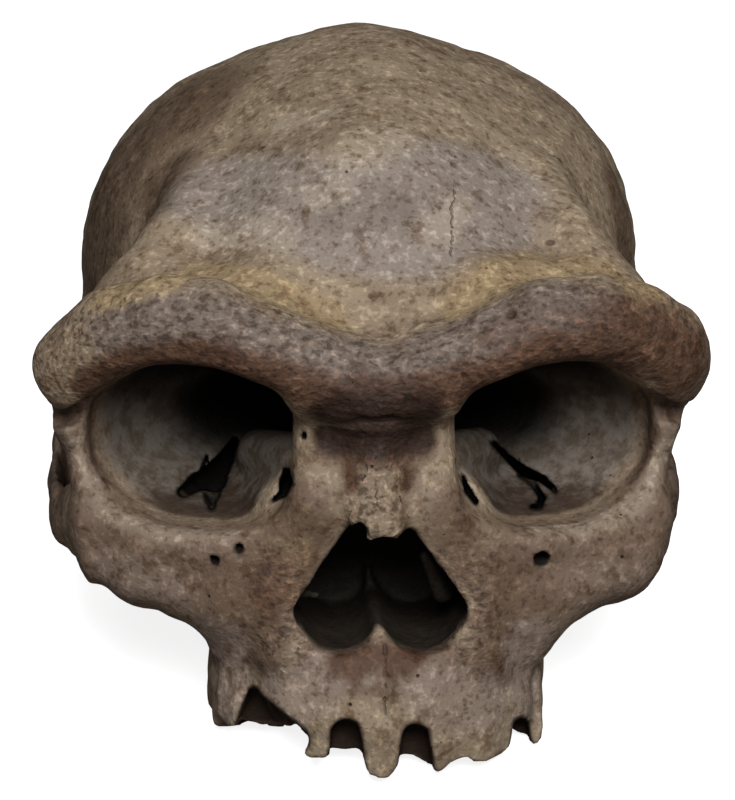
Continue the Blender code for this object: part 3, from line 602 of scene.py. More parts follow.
def upper_jaw(clay):
    row = [(x, y, TOOTH_ROW_HEIGHT, TOOTH_ROW_RADIUS) for x, y in TOOTH_ROW]
    jaw = clay.join(
        JAW_BLEND,
        clay.ball(MAXILLA_CENTRE, MAXILLA_RADII),
        clay.ball(TUBEROSITY_CENTRE, TUBEROSITY_RADII),
        clay.ball(PREMAXILLA_CENTRE, PREMAXILLA_RADII),
        clay.ball(HARD_PALATE_CENTRE, HARD_PALATE_RADII),
        clay.chain(row, stretch=TOOTH_ROW_STRETCH),
    )
    jaw = clay.join(SHARP_EDGE, jaw, *[clay.bar(a, b, at=clay.point) for a, b in ROOT_RIDGES])
    jaw = clay.keep_both(SHARP_EDGE, jaw, clay.number("SUBTRACT", tooth_row_floor(clay), clay.z))
    jaw = clay.join(SHARP_EDGE, jaw, *[clay.ball(centre, (r,) * 3, at=clay.point) for *centre, r in BOSSES])
    return clay.carve(HOLLOW_EDGE, jaw, clay.chain(MIDLINE_GROOVE, at=clay.point))


def tooth_row_floor(clay):
    """How low the tooth row reaches: a broken edge in front that runs into the plain floor behind."""
    edge = clay.profile(clay.x, LOWER_EDGE, LOWER_EDGE_SPAN, LOWER_EDGE_TOP, LOWER_EDGE_DEPTH)
    edge = clay.number("ADD", edge, clay.lumps(*EDGE_CRUMBLE))
    plain = clay.number("SUBTRACT", TOOTH_ROW_FLOOR, edge)
    floor = clay.number("MULTIPLY_ADD", plain, clay.step(clay.y, *LOWER_EDGE_BACK), edge)
    behind = clay.number("MAXIMUM", clay.number("SUBTRACT", clay.y, TOOTH_ROW_RISE_FROM), 0.0)
    return clay.number("MULTIPLY_ADD", behind, TOOTH_ROW_RISE, floor)


def skull_base(clay):
    return clay.join(
        SMALL_BLEND,
        clay.ball(SPHENOID_CENTRE, SPHENOID_RADII),
        clay.chain(CLIVUS),
        clay.chain(PETROUS),
        clay.chain(PTERYGOID, stretch=PTERYGOID_FLATNESS),
        clay.chain(MASTOID),
        clay.chain(EMINENCE),
        clay.ball(JAW_SOCKET_ROOF_CENTRE, JAW_SOCKET_ROOF_RADII),
        clay.ball(NOSE_WALL_CENTRE, NOSE_WALL_RADII),
        clay.chain(CONDYLE),
    )


def orbit(clay):
    """A funnel with a squarish mouth, rounder inside, that narrows back. Also how far in it is, 0 to 1."""
    x, y, z = clay.split(clay.vector("SUBTRACT", clay.paired, ORBIT_MOUTH))
    y = clay.number("MULTIPLY_ADD", x, -FACE_PLANE_SLOPE, y)
    depth = ORBIT_APEX[1] - ORBIT_MOUTH[1] + FACE_PLANE_SLOPE * (ORBIT_MOUTH[0] - ORBIT_APEX[0])
    inward = clay.number("MINIMUM", clay.number("MAXIMUM", clay.number("DIVIDE", y, depth), 0.0), 1.0)
    x = clay.number("MULTIPLY_ADD", inward, ORBIT_MOUTH[0] - ORBIT_APEX[0], x)
    z = clay.number("MULTIPLY_ADD", inward, ORBIT_MOUTH[2] - ORBIT_APEX[2], z)
    x = clay.number("DIVIDE", x, ORBIT_HALF_WIDTH)
    z = clay.number("DIVIDE", z, ORBIT_HALF_HEIGHT)
    corners = []
    for along, up, limit, soft in ORBIT_CORNERS:
        cut = clay.number("MULTIPLY_ADD", x, along / limit, clay.number("MULTIPLY", z, up / limit))
        corners.append((soft, cut))
    x = clay.number("ABSOLUTE", x)
    z = clay.number("ABSOLUTE", z)
    across = clay.number("POWER", x, ORBIT_SQUARENESS)
    upright = clay.number("POWER", z, ORBIT_SQUARENESS)
    square = clay.number("POWER", clay.number("ADD", across, upright), 1 / ORBIT_SQUARENESS)
    round_reach = clay.vector("LENGTH", clay.combine(x, z, 0.0))
    deeper = clay.number("MINIMUM", clay.number("MULTIPLY", inward, ORBIT_ROUNDING), 1.0)
    rounding = clay.number("MULTIPLY", clay.number("SUBTRACT", round_reach, square), deeper)
    reach = clay.number("ADD", square, rounding)
    for soft, cut in corners:
        reach = clay.keep_both(soft, reach, cut)
    narrowing, curve = ORBIT_TAPER
    mouth = clay.number("SUBTRACT", 1.0, clay.number("POWER", inward, narrowing))
    mouth = clay.number("POWER", clay.number("MAXIMUM", mouth, 0.0), curve)
    return clay.number("MULTIPLY", clay.number("SUBTRACT", reach, mouth), ORBIT_HALF_HEIGHT), inward


def orbit_edge(clay):
    """How round the orbit's edge is. It is roundest at the outer side, below the brow."""
    out = clay.step(clay.number("ABSOLUTE", clay.x), *ORBIT_FLARE_OUT)
    flare = clay.number("MULTIPLY", out, clay.step(clay.z, *ORBIT_FLARE_LEVELS))
    return clay.number("MULTIPLY_ADD", flare, ORBIT_FLARE, ORBIT_EDGE)


def nasal_cavity(clay):
    """Two rounded lobes that run straight back from the opening, with the septum left standing."""
    skew = clay.number("MULTIPLY", clay.number("SUBTRACT", NOSE_LEVEL, clay.z), NOSE_SKEW)
    flat = clay.combine(clay.number("SUBTRACT", clay.x, skew), 0.0, clay.z)
    lobes = clay.join(SHARP_EDGE, *[clay.chain(knots, at=flat, soft=0) for knots in NOSE_LOBES])
    share = clay.step(clay.y, *NOSE_RAGGED_EDGE, 1.0, NOSE_RAGGED_LEAST)
    lobes = clay.number("MULTIPLY_ADD", clay.lumps(*NOSE_RAGGED), share, lobes)
    lobes = clay.keep_both(HOLLOW_EDGE, lobes, clay.number("SUBTRACT", clay.y, NOSE_BACK))
    return clay.carve(SHARP_EDGE, lobes, clay.ball(SEPTUM_CENTRE, SEPTUM_HALF_SIZE, at=clay.point))


def sockets(clay):
    pits = []
    for x, y, radius, top in SOCKETS:
        tip = radius * SOCKET_TAPER
        pits.append(clay.bar((x, y, SOCKET_MOUTH, radius), (x, y, top - tip, tip), at=clay.point))
    return pits


def open_sockets(clay):
    return [clay.drill(SIGHT_AT_TEETH, knots, OPEN_SOCKETS_FRONT, back) for knots, back in OPEN_SOCKETS]


def orbit_holes(clay):
    return [clay.drill(slope, knots, *ends) for slope, knots, ends in SIGHT_HOLES]


def small_holes(clay):
    """Open sockets, the orbits' holes and cracks, foramina, the crease under the brow, and pits."""
    holes = open_sockets(clay) + orbit_holes(clay)
    holes += [clay.bar(a, b, at=clay.point) for a, b in FORAMINA]
    holes.append(clay.chain(BROW_CREASE, at=clay.point))
    for x, y, z, radius in PITS:
        holes.append(clay.ball((x, y, z), (radius,) * 3, at=clay.point))
    return holes


def surface_grain(clay):
    """Fine unevenness, strongest on the brow and the face."""
    share = clay.step(clay.y, *GRAIN_BACK, 1.0, GRAIN_LEAST)
    grain = clay.number("MULTIPLY", clay.lumps(*GRAIN, stretch=GRAIN_STRETCH), share)
    return clay.number("ADD", grain, clay.lumps(*DENTS))


def cranium_field(clay):
    bone = clay.join(HEAD_BLEND, braincase(clay), brow(clay), orbit_walls(clay))
    bone = clay.join(FACE_BLEND, bone, skull_base(clay), nose(clay), upper_jaw(clay))
    bone = clay.join(SMALL_BLEND, bone, cheeks(clay))
    bone = clay.number("ADD", bone, clay.lumps(*LUMPS))
    bone = clay.number("ADD", bone, surface_grain(clay))
    bone = clay.carve(orbit_edge(clay), bone, orbit(clay)[0])
    bone = clay.carve(
        HOLLOW_EDGE,
        bone,
        clay.chain(BROW_UNDERCUT),
        clay.ball(PALATE_CENTRE, PALATE_RADII),
        clay.chain(FORAMEN_MAGNUM, stretch=FORAMEN_MAGNUM_STRETCH),
        clay.chain(EAR_HOLE),
        clay.ball(JAW_SOCKET_CENTRE, JAW_SOCKET_RADII),
        clay.ball(CHOANA_CENTRE, CHOANA_RADII),
    )
    bone = clay.join(SMALL_BLEND, bone, clay.chain(ORBIT_SLAB_LOW), clay.chain(ORBIT_SLAB_HIGH))
    bone = clay.carve(SHARP_EDGE, bone, nasal_cavity(clay), *sockets(clay))
    bone = clay.join(SHARP_EDGE, bone, *[clay.bar(a, b, at=clay.point) for a, b in NOSE_PLATES])
    return clay.carve(BROKEN_EDGE, bone, *small_holes(clay))


def clay_tree(step):
    """A node tree that casts the field as a mesh."""
    tree = bpy.data.node_groups.new("cranium clay", "GeometryNodeTree")
    tree.interface.new_socket("Geometry", in_out="OUTPUT", socket_type="NodeSocketGeometry")
    clay = Clay(tree)
    field = cranium_field(clay)
    grid = clay.new("GeometryNodeVolumeCube")
    clay.put(grid.inputs["Density"], clay.number("MULTIPLY", field, -1.0))
    grid.inputs["Background"].default_value = -1.0
    grid.inputs["Min"].default_value = CAST_LOW * MM
    grid.inputs["Max"].default_value = CAST_HIGH * MM
    for axis, span in zip("XYZ", CAST_HIGH - CAST_LOW):
        grid.inputs["Resolution " + axis].default_value = round(span / step)
    skin = clay.new("GeometryNodeVolumeToMesh")
    skin.inputs["Threshold"].default_value = 0.0
    tree.links.new(grid.outputs["Volume"], skin.inputs["Volume"])
    tree.links.new(skin.outputs["Mesh"], clay.new("NodeGroupOutput").inputs[0])
    return tree


# Marks that the material reads, each a list of soft brush strokes: knots (x, y, z), how far the stroke
# reaches, and its weight where that isn't 1.
STROKES = {
    "umber": (
        # The right temple's broad stroke is a stain, and partly painted shade on that side.
        (((-62, 91, 50), (-61, 97, 63), (-54, 100, 75), (-43, 97, 84)), 22),
        (((-56, 60, 45), (-50, 56, 60), (-47, 72, 69)), 13),
        (((62, 91, 50), (61, 97, 63)), 10),
        (((-30, 7, -13), (-28, 8, -24)), 10, 0.7),
        (((31, 7, -13), (29, 8, -27)), 10, 0.8),
        (((-16, 6, 1), (-21, 6, -9)), 8),
        (((17, 6, 1), (22, 6, -9)), 6, 0.7),
        (((-67, 20, 37), (-62, 16, 31)), 9, 0.4),
    ),
    "grey": (
        (((-33, 52, 67), (-22, 42, 68), (-8, 33, 65), (6, 33, 67), (18, 42, 72), (29, 48, 70)), 15),
        (((-8, 28, 59), (10, 26, 57), (30, 40, 62)), 9),
    ),
    "brown": (
        (((-62, 19, 0), (-58, 19, -9), (-42, 12, -10), (-31, 9, -8)), 17, 0.75),
        (((64, 21, -1), (58, 16, -11), (42, 11, -9), (32, 8, -7)), 17, 0.75),
        (((-30, 7, -13), (-28, 8, -22)), 14),
        (((31, 7, -13), (29, 8, -25)), 14),
        (((-16, 6, 4), (-20, 6, -8)), 9),
        (((16, 6, 4), (22, 6, -8)), 8, 0.8),
        (((-65, 27, 24), (-62, 26, 8)), 10),
        (((66, 27, 24), (64, 25, 8)), 10),
        (((-12, 1, -27), (1, 1, -28), (14, 2, -28)), 8),
        (((-6, 4, 12), (6, 4, 12)), 7, 0.4),
        (((-6, 2, 5), (7, 2, 5)), 6, 0.35),
        (((-68, 50, -3), (-72, 90, 2)), 12),
        (((70, 50, -3), (74, 90, 2)), 12),
    ),
    "slate": (
        (((-54, 7, 45), (-37, 2, 47), (-20, 0, 41), (-6, 2, 37), (5, 1, 36), (17, 2, 41), (34, 3, 48),
          (46, 4, 47)), 9),
        (((-8, 34, 66), (7, 34, 67)), 9, 0.5),
    ),
    "ochre": (
        (((-56, 13, 51), (-45, 10, 54), (-37, 27, 54), (-23, 16, 51), (-10, 14, 45)), 6),
        (((20, 14, 48), (29, 19, 53), (38, 29, 55), (50, 27, 53), (57, 13, 51)), 7),
        (((-17, 5, -3), (-20, 5, -12)), 5, 0.35),
    ),
    "red": (
        (((-60, 12, 30), (-52, 7, 36), (-37, 3, 38), (-20, 0, 34), (-9, 1, 30), (7, 1, 30), (22, 1, 34),
          (38, 3, 40), (56, 10, 35)), 6),
        (((50, 5, 42), (58, 8, 41), (64, 11, 38), (68, 14, 34)), 12, 0.85),
        (((26, 2, 41), (38, 3, 45), (50, 5, 43)), 7, 0.5),
        (((-9, 7, 19), (0, 4, 18), (9, 7, 19)), 5, 0.8),
        (((-6, 6, 17), (-5, 4, 11)), 2.5, 0.8),
        (((8, 6, 17), (7, 5, 11)), 2.5, 0.8),
        (((-7, 2, -27), (-4, 1, -28)), 4),
        (((5, 1, -28), (8, 3, -26)), 4),
        (((-20, 6, -8), (-22, 6, -14)), 6, 0.6),
        (((-2, 1, -25), (4, 1, -26)), 3),
    ),
    # Under the glabella and at the nose's root: a stain, and partly painted shade under the brow.
    "dark": (
        (((-9, 3, 27), (0, 0, 26.5), (9, 3, 27)), 6.5),
        (((-9, 7, 21), (0, 4, 20), (9, 7, 21)), 5),
    ),
    "wall": (
        (((-33, 14, -25), (-33, 17, -37)), 9),
        (((33, 11, -25), (35, 15, -40)), 8),
        (((-56, 18, -11), (-44, 12, -13)), 7, 0.5),
        (((57, 17, -12), (45, 12, -13)), 7, 0.3),
        (((-19, 4, -36), (-13, 1, -31)), 8),
        (((12, -1, -33), (24, 5, -38)), 8),
    ),
    "pale": (
        (((-11, 36, 69), (-7, 36, 70)), 5),
        (((-34, 39, 59), (-28, 37, 61), (-21, 31, 60)), 6),
        (((-16, 62, 83), (-11, 60, 84)), 6),
        (((13, 30, 62), (16, 32, 62)), 5),
        (((19, 35, 66), (20, 37, 67)), 4),
        (((-2, 43, 78), (5, 47, 81)), 7),
        (((-6, 3, 4), (-2, 2, 9), (3, 3, 9), (8, 4, 4)), 4, 0.2),
        (((-6, 4, 6), (-10, 7, 14)), 4.5, 0.2),
        (((8, 4, 6), (12, 7, 14)), 4.5, 0.2),
        (((-64, 23, 17), (-61, 23, 9), (-56, 19, 2), (-45, 14, -1), (-32, 11, -1)), 3.5, 0.65),
        (((66, 25, 16), (62, 23, 8), (55, 19, 1), (44, 14, -1), (36, 12, -1)), 3.5, 0.75),
        (((-2, 1, -31), (-1.5, 1, -31)), 2),
        (((5, 1, -31), (5.5, 1, -31)), 2),
    ),
    "coarse": (
        (((-64, 20, 34), (-56, 12, 42), (-45, 7, 44), (-31, 4, 42), (-18, 2, 38), (0, 1, 33), (18, 2, 38),
          (34, 4, 44), (50, 6, 44), (64, 15, 40)), 16),
        (((0, 2, 22), (0, 0, 5)), 10),
        (((-20, 6, -8), (-20, 6, -24)), 8),
        (((20, 6, -8), (20, 6, -24)), 8),
    ),
}
# How strongly each stain covers what lies below it, in the order in which they are laid.
STAINS = {"brown": 1.0, "umber": 0.9, "grey": 0.8, "slate": 0.85, "ochre": 0.75, "wall": 0.75, "red": 0.95,
          "dark": 1.0, "pale": 0.4}

# How the stains' edges are broken up: how far the noise moves them, its middle, and how they fade in.
STAIN_RAGGED = (1.4, -0.7)
STAIN_EDGE = (0.0, 0.9)
STAIN_RIM = (0.0, 0.3)
# Patches give this share of the noise that breaks them up, and fine spots the rest.
STAIN_PATCHES = 0.6

# What mottling multiplies the colour by.
SHADE = (0.6, 0.53, 0.47, 1)
TINT = (1.55, 1.55, 1.55, 1)

# The bone's patterns, as (size in millimetres, detail, roughness), with a distortion for the brow's dashes.
BROAD = (24, 3, 0.55)
PATCHES = (6, 4, 0.62)
BLOTCHES = (4.2, 4, 0.66)
SPOTS = (2.4, 2, 0.6)
CRUMBS = (1.0, 1, 0.5)
DASHES = (1.4, 1.5, 0.6, 0.2)
DASH_STRETCH = (0.65, 0.9, 1.0)
# Between which values of its pattern each finish fades in, and how much of what is below it covers.
TAN_PATCHES = 0.7
TAN = (0.68, 1.05)
DARK_BLOTCH = (0.5, 0.32)
FLECK_CRUMBS = 0.5
PALE_FLECK = (0.78, 0.98)
DARK_FLECK = (0.7, 0.5)
DARK_DASH = (0.47, 0.34)
DARK_DASH_COVER = 0.6
PALE_DASH = (0.56, 0.68)
# Hollows are painted darker by the cavity mark.
HOLLOW_DARKENING = (0.03, 0.4)
HOLLOW_DARKENING_COVER = 0.6
WORN = (-0.15, -0.6)
WORN_COVER = 0.2
# Pits lie this far apart in millimetres, and only the chosen ones are there. Their reach is a share of that.
PIT_SPACING = 5
PIT_CHOSEN = (0.66, 0.72)
PIT_REACH = (0.07, 0.04)
PIT_MIDDLE = 0.02
PIT_COVER = 0.8

# Fine dark lines: a crack of the forehead, the nose's seams and the jaw's midline.
# Each has knots (x, y, z) and a half width.
CRACKS = (
    (((19, 40, 71), (18, 35, 66), (18, 31, 61), (17, 26, 57)), 0.4),
    (((0, 4, 17), (0, 3, 13), (0, 1, 8), (0, 0, 3)), 0.3),
    (((-3, 4, 17), (-2, 3, 14), (-4, 3, 8), (-6, 3, 4)), 0.3),
    (((4, 4, 17), (3, 4, 14), (5, 4, 8), (7, 4, 3)), 0.3),
    (((2, 3, -24), (2, 1, -29), (2, 0, -36), (3, 0, -44)), 0.7),
)
# How long the cracks' turns are and how far they stray, in millimetres, how wide their core is as a share,
# and how much they cover.
CRACK_TURN = 1.6
CRACK_STRAY = 1.8
CRACK_CORE = 0.3
CRACK_COVER = 0.5

# The orbits' finish: clouded grey, lighter in the left one by X, brown low on the floor, and near-black
# painted shadow deep in and under the brow. Levels are Z in millimetres, and the others are how far in it
# is.
ORBIT_LIGHTER = (10.0, 50.0, 0.0, 0.45)
ORBIT_CLOUDS = (0.6, 0.4)
ORBIT_GREY = (0.0, 0.14)
ORBIT_GREY_COVER = 0.9
ORBIT_FLOOR = (0.0, 0.06)
ORBIT_FLOOR_LEVELS = (13.0, 6.0, 0.0, 0.8)
ORBIT_FLOOR_RAGGED = 10.0
# Painted shadow, near black: deep in the orbits above a level, and under the brow.
ORBIT_PAINTED_SHADOW = (0.36, 0.62)
ORBIT_PAINTED_SHADOW_LEVELS = (4.0, 15.0)
UNDER_BROW_SHADOW = (0.02, 0.2)
UNDER_BROW_SHADOW_LEVELS = (20.0, 32.0)
# How much near-black painted shade covers the nose.
NOSE_PAINTED_SHADE = 0.94

# How matt the bone is, by its patches, and its relief in millimetres.
MATT = (0.25, 0.5)
SHEEN = 0.2
DASH_RELIEF = 0.5
CRUMB_RELIEF = 0.15
SPOT_RELIEF = 0.3
PIT_DEPTH = 0.6
CRACK_DEPTH = 0.3


class CraniumSizes(bpy.types.PropertyGroup):
    cast_step: bpy.props.FloatProperty(
        name="Cast step", description="How finely the clay is cast, in millimetres",
        default=0.8, min=0.5, max=3)
    kept_faces: bpy.props.IntProperty(
        name="Kept faces", description="How many triangles the bone keeps",
        default=190000, min=5000, max=199000)


def colour_setting(name, description, default):
    return bpy.props.FloatVectorProperty(
        name=name, description=description, subtype="COLOR", size=3, default=default, min=0, max=1)


class BoneColours(bpy.types.PropertyGroup):
    bone: colour_setting("Bone", "The vault's bone between its stains", (0.225, 0.168, 0.115))
    tan: colour_setting("Tan", "Lighter mottling of the vault", (0.29, 0.225, 0.155))
    # On the right temple umber is partly painted shade on that side.
    umber: colour_setting("Umber", "Dark brown of the right temple and the cheeks", (0.115, 0.075, 0.048))
    brown: colour_setting("Brown", "Brown of the cheeks and the jaw", (0.14, 0.095, 0.068))
    grey: colour_setting("Grey", "Smooth mauve grey patches of the forehead", (0.24, 0.202, 0.178))
    slate: colour_setting("Slate", "Darker grey along the upper front of the brow", (0.128, 0.1, 0.086))
    ochre: colour_setting("Ochre", "Ochre stain behind the brow and beside the nose", (0.29, 0.21, 0.115))
    red: colour_setting("Red brown", "Red brown stain along the brow's lower edge", (0.08, 0.04, 0.024))
    # Dark brown: stains, the grain's dashes and cracks, partly painted shade under the glabella, and the
    # darkening of hollows and sockets.
    dark: colour_setting("Dark brown", "Dark stain under the brow and in hollows", (0.028, 0.015, 0.01))
    wall: colour_setting("Jaw wall", "Lighter mauve of the jaw's outer walls", (0.24, 0.185, 0.152))
    pale: colour_setting("Pale", "Pale worn flecks and edges", (0.38, 0.32, 0.25))
    hollow: colour_setting("Hollow", "Grey of the orbits' walls", (0.118, 0.104, 0.09))
    # Pit is near black: painted shade in deep holes, the nose and the orbits under the brow, and the small
    # pits' colour.
    pit: colour_setting("Pit", "Dark filling of pits and deep holes", (0.006, 0.0045, 0.0035))


class StageSettings(bpy.types.PropertyGroup):
    floor: colour_setting("Floor", "Colour of the floor", (0.86, 0.86, 0.86))
    key: bpy.props.FloatProperty(
        name="Key light", description="Power of the softbox above the front",
        default=16, min=0, unit="POWER")
    fill: bpy.props.FloatProperty(
        name="Fill", description="Brightness of the even light from all round", default=0.06, min=0)


def read_all(items, name, width, kind=np.float32):
    values = np.empty(len(items) * width, kind)
    items.foreach_get(name, values)
    return values.reshape(-1, width)


def level_mesh(mesh):
    """Vertex places in millimetres, normals, and the vertex pairs of the edges."""
    places = read_all(mesh.vertices, "co", 3) / MM
    return places, read_all(mesh.vertices, "normal", 3), read_all(mesh.edges, "vertices", 2, np.int32)


def spread(values, edges, rounds):
    """Averages a value over neighbouring vertices, again and again."""
    a, b = edges.T
    count = len(values)
    ties = np.bincount(a, minlength=count) + np.bincount(b, minlength=count) + 1.0
    for _ in range(rounds):
        total = np.bincount(a, values[b], count) + np.bincount(b, values[a], count)
        values = (values + total) / ties
    return values


def hollowness(places, normals, edges, rounds):
    """How hollow the surface is at each vertex, in 1/mm. Edges and bumps are below zero."""
    a, b = edges.T
    run = places[b] - places[a]
    squared = np.maximum((run ** 2).sum(1), SHORTEST_EDGE)
    rise = np.bincount(a, (run * normals[a]).sum(1) / squared, len(places))
    rise += np.bincount(b, -(run * normals[b]).sum(1) / squared, len(places))
    ties = np.bincount(a, minlength=len(places)) + np.bincount(b, minlength=len(places))
    return spread(rise * 2 / np.maximum(ties, 1), edges, rounds)


def smooth(value):
    value = np.clip(value, 0, 1)
    return value * value * (3 - 2 * value)


def brushed(places, strokes):
    """Each stroke's weight along its knots, falling softly to 0 past its reach."""
    mark = np.zeros(len(places))
    for knots, reach, *weight in strokes:
        for start, end in zip(knots, knots[1:]):
            start, run = np.array(start, float), np.subtract(end, start).astype(float)
            along = np.clip(((places - start) @ run) / (run @ run), 0, 1)
            gap = np.linalg.norm(places - start - along[:, None] * run, axis=1)
            share = smooth(STROKE_CORE * (1 - gap / (STROKE_REACH * reach)))
            mark = np.maximum(mark, share * (weight or [1])[0])
    return mark


def keep_mark(mesh, name, values):
    attribute = mesh.attributes.new(name, "FLOAT", "POINT")
    attribute.data.foreach_set("value", np.ascontiguousarray(values, np.float32))


def marks_tree():
    """A node tree that marks how deep each point lies in the orbits, nose, sockets and small holes."""
    tree = bpy.data.node_groups.new("cranium marks", "GeometryNodeTree")
    tree.interface.new_socket("Geometry", in_out="INPUT", socket_type="NodeSocketGeometry")
    tree.interface.new_socket("Geometry", in_out="OUTPUT", socket_type="NodeSocketGeometry")
    clay = Clay(tree)
    orbit_gap, inward = orbit(clay)
    pits = clay.join(0, *sockets(clay), *open_sockets(clay))
    holes = clay.join(0, *orbit_holes(clay), *[clay.bar(a, b, at=clay.point) for a, b in FORAMINA])
    nose_gap = clay.number("SUBTRACT", nasal_cavity(clay), clay.step(clay.y, *NOSE_CREST))
    nose_depth = clay.step(clay.y, *NOSE_MARK_DEPTH)
    marks = {
        "in_orbit": clay.number("MULTIPLY", clay.step(orbit_gap, *ORBIT_MARK), inward),
        "in_nose": clay.number("MULTIPLY", clay.step(nose_gap, *NOSE_MARK), nose_depth),
        "in_socket": clay.step(pits, *SOCKET_MARK),
        "in_hole": clay.step(holes, *HOLE_MARK),
    }
    last = clay.new("NodeGroupInput").outputs[0]
    for name, value in marks.items():
        store = clay.new("GeometryNodeStoreNamedAttribute", data_type="FLOAT", domain="POINT")
        store.inputs["Name"].default_value = name
        clay.put(store.inputs["Geometry"], last)
        clay.put(store.inputs["Value"], value)
        last = store.outputs["Geometry"]
    tree.links.new(last, clay.new("NodeGroupOutput").inputs[0])
    return tree


def settle(cranium):
    """Applies the modifiers, so that the object's mesh is the shape itself."""
    mesh = bpy.data.meshes.new_from_object(cranium.evaluated_get(bpy.context.evaluated_depsgraph_get()))
    cranium.modifiers.clear()
    cranium.vertex_groups.clear()
    cranium.data = mesh
    return mesh


def cast_cranium(sizes):
    """Casts the clay finely, and keeps more of its faces where the face has small forms."""
    cranium = bpy.data.objects.new("fossil_cranium", bpy.data.meshes.new("fossil_cranium"))
    bpy.context.scene.collection.objects.link(cranium)
    cranium.modifiers.new("cast", "NODES").node_group = clay_tree(sizes.cast_step)
    mesh = settle(cranium)
    places, _, _ = level_mesh(mesh)
    face = smooth((FACE_END - places[:, 1]) / FACE_FADE)
    group = cranium.vertex_groups.new(name="back")
    for share in range(BACK_STEPS + 1):
        chosen = np.flatnonzero(np.round((1 - face) * BACK_STEPS) == share)
        group.add(chosen.tolist(), FACE_WEIGHT + (1 - FACE_WEIGHT) * share / BACK_STEPS, "REPLACE")
    thin = cranium.modifiers.new("fewer faces", "DECIMATE")
    thin.vertex_group = "back"
    thin.vertex_group_factor = BACK_PULL
    thin.ratio = min(1, sizes.kept_faces / (2 * len(mesh.polygons)))
    settle(cranium)
    cranium.modifiers.new("marks", "NODES").node_group = marks_tree()
    return cranium, settle(cranium)


def mark_bone(mesh):
    places, normals, edges = level_mesh(mesh)
    keep_mark(mesh, "cavity", hollowness(places, normals, edges, CAVITY_ROUNDS))
    for name, strokes in STROKES.items():
        keep_mark(mesh, name, brushed(places, strokes))


def rest_turn():
    return Matrix.Translation(REST_PLACE) @ Matrix.Rotation(REST_TILT, 4, "X")


def wear_flat(mesh):
    """Brings the few lowest points up to the tabletop, where the bone is worn."""
    places = read_all(mesh.vertices, "co", 3)
    places[:, 2] = np.maximum(places[:, 2], 0)
    mesh.vertices.foreach_set("co", places.ravel())


class Paint(Nodes):
    """Writes the bone's material. Sizes are in millimetres of the level head's frame."""

    def __init__(self, tree):
        super().__init__(tree)
        level = self.new("ShaderNodeMapping", vector_type="TEXTURE")
        level.inputs["Location"].default_value = REST_PLACE
        level.inputs["Rotation"].default_value = (REST_TILT, 0, 0)
        level.inputs["Scale"].default_value = (MM, MM, MM)
        self.put(level.inputs["Vector"], self.new("ShaderNodeTexCoord").outputs["Object"])
        self.point = level.outputs["Vector"]

    def mark(self, name):
        return self.new("ShaderNodeAttribute", attribute_name=name).outputs["Fac"]

    def mix(self, share, below, above, blend="MIX"):
        node = self.new("ShaderNodeMix", data_type="RGBA", blend_type=blend)
        self.put(node.inputs["Factor"], share)
        self.put(node.inputs[6], below)
        self.put(node.inputs[7], above)
        return node.outputs[2]

    def colour_noise(self, at, size):
        node = self.new("ShaderNodeTexNoise")
        self.put(node.inputs["Vector"], at)
        node.inputs["Scale"].default_value = 1 / size
        return node.outputs["Color"]

    def line(self, at, knots):
        """The distance from a line through the knots."""
        tree = shape_group("Line", ("Place", "Start", "Run", "Measure"), (), line_distance, "ShaderNodeTree")
        nearest = FAR
        for start, end in zip(knots, knots[1:]):
            start, run = Vector(start), Vector(end) - Vector(start)
            line = self.group(tree, place=at, start=start, run=run, measure=run / run.length_squared)
            nearest = self.number("MINIMUM", line["Distance"], nearest)
        return nearest

    def cells(self, at, size):
        node = self.new("ShaderNodeTexVoronoi", feature="F1")
        self.put(node.inputs["Vector"], at)
        node.inputs["Scale"].default_value = 1 / size
        return node


def stain_group():
    """A stain whose ragged edge is broken up by a noise."""
    tree = bpy.data.node_groups.new("Stain", "ShaderNodeTree")
    for name in ("Bone", "Stain"):
        tree.interface.new_socket(name, in_out="INPUT", socket_type="NodeSocketColor")
    for name in ("Zone", "Ragged", "Strength"):
        tree.interface.new_socket(name, in_out="INPUT", socket_type="NodeSocketFloat")
    tree.interface.new_socket("Colour", in_out="OUTPUT", socket_type="NodeSocketColor")
    nodes = Nodes(tree)
    given = nodes.new("NodeGroupInput").outputs
    edge = nodes.number("ADD", given["Zone"], nodes.number("MULTIPLY_ADD", given["Ragged"], *STAIN_RAGGED))
    share = nodes.number("MULTIPLY", nodes.step(edge, *STAIN_EDGE), given["Strength"])
    share = nodes.number("MULTIPLY", share, nodes.step(given["Zone"], *STAIN_RIM))
    mix = nodes.new("ShaderNodeMix", data_type="RGBA")
    nodes.put(mix.inputs["Factor"], share)
    nodes.put(mix.inputs[6], given["Bone"])
    nodes.put(mix.inputs[7], given["Stain"])
    tree.links.new(mix.outputs[2], nodes.new("NodeGroupOutput").inputs["Colour"])
    return tree


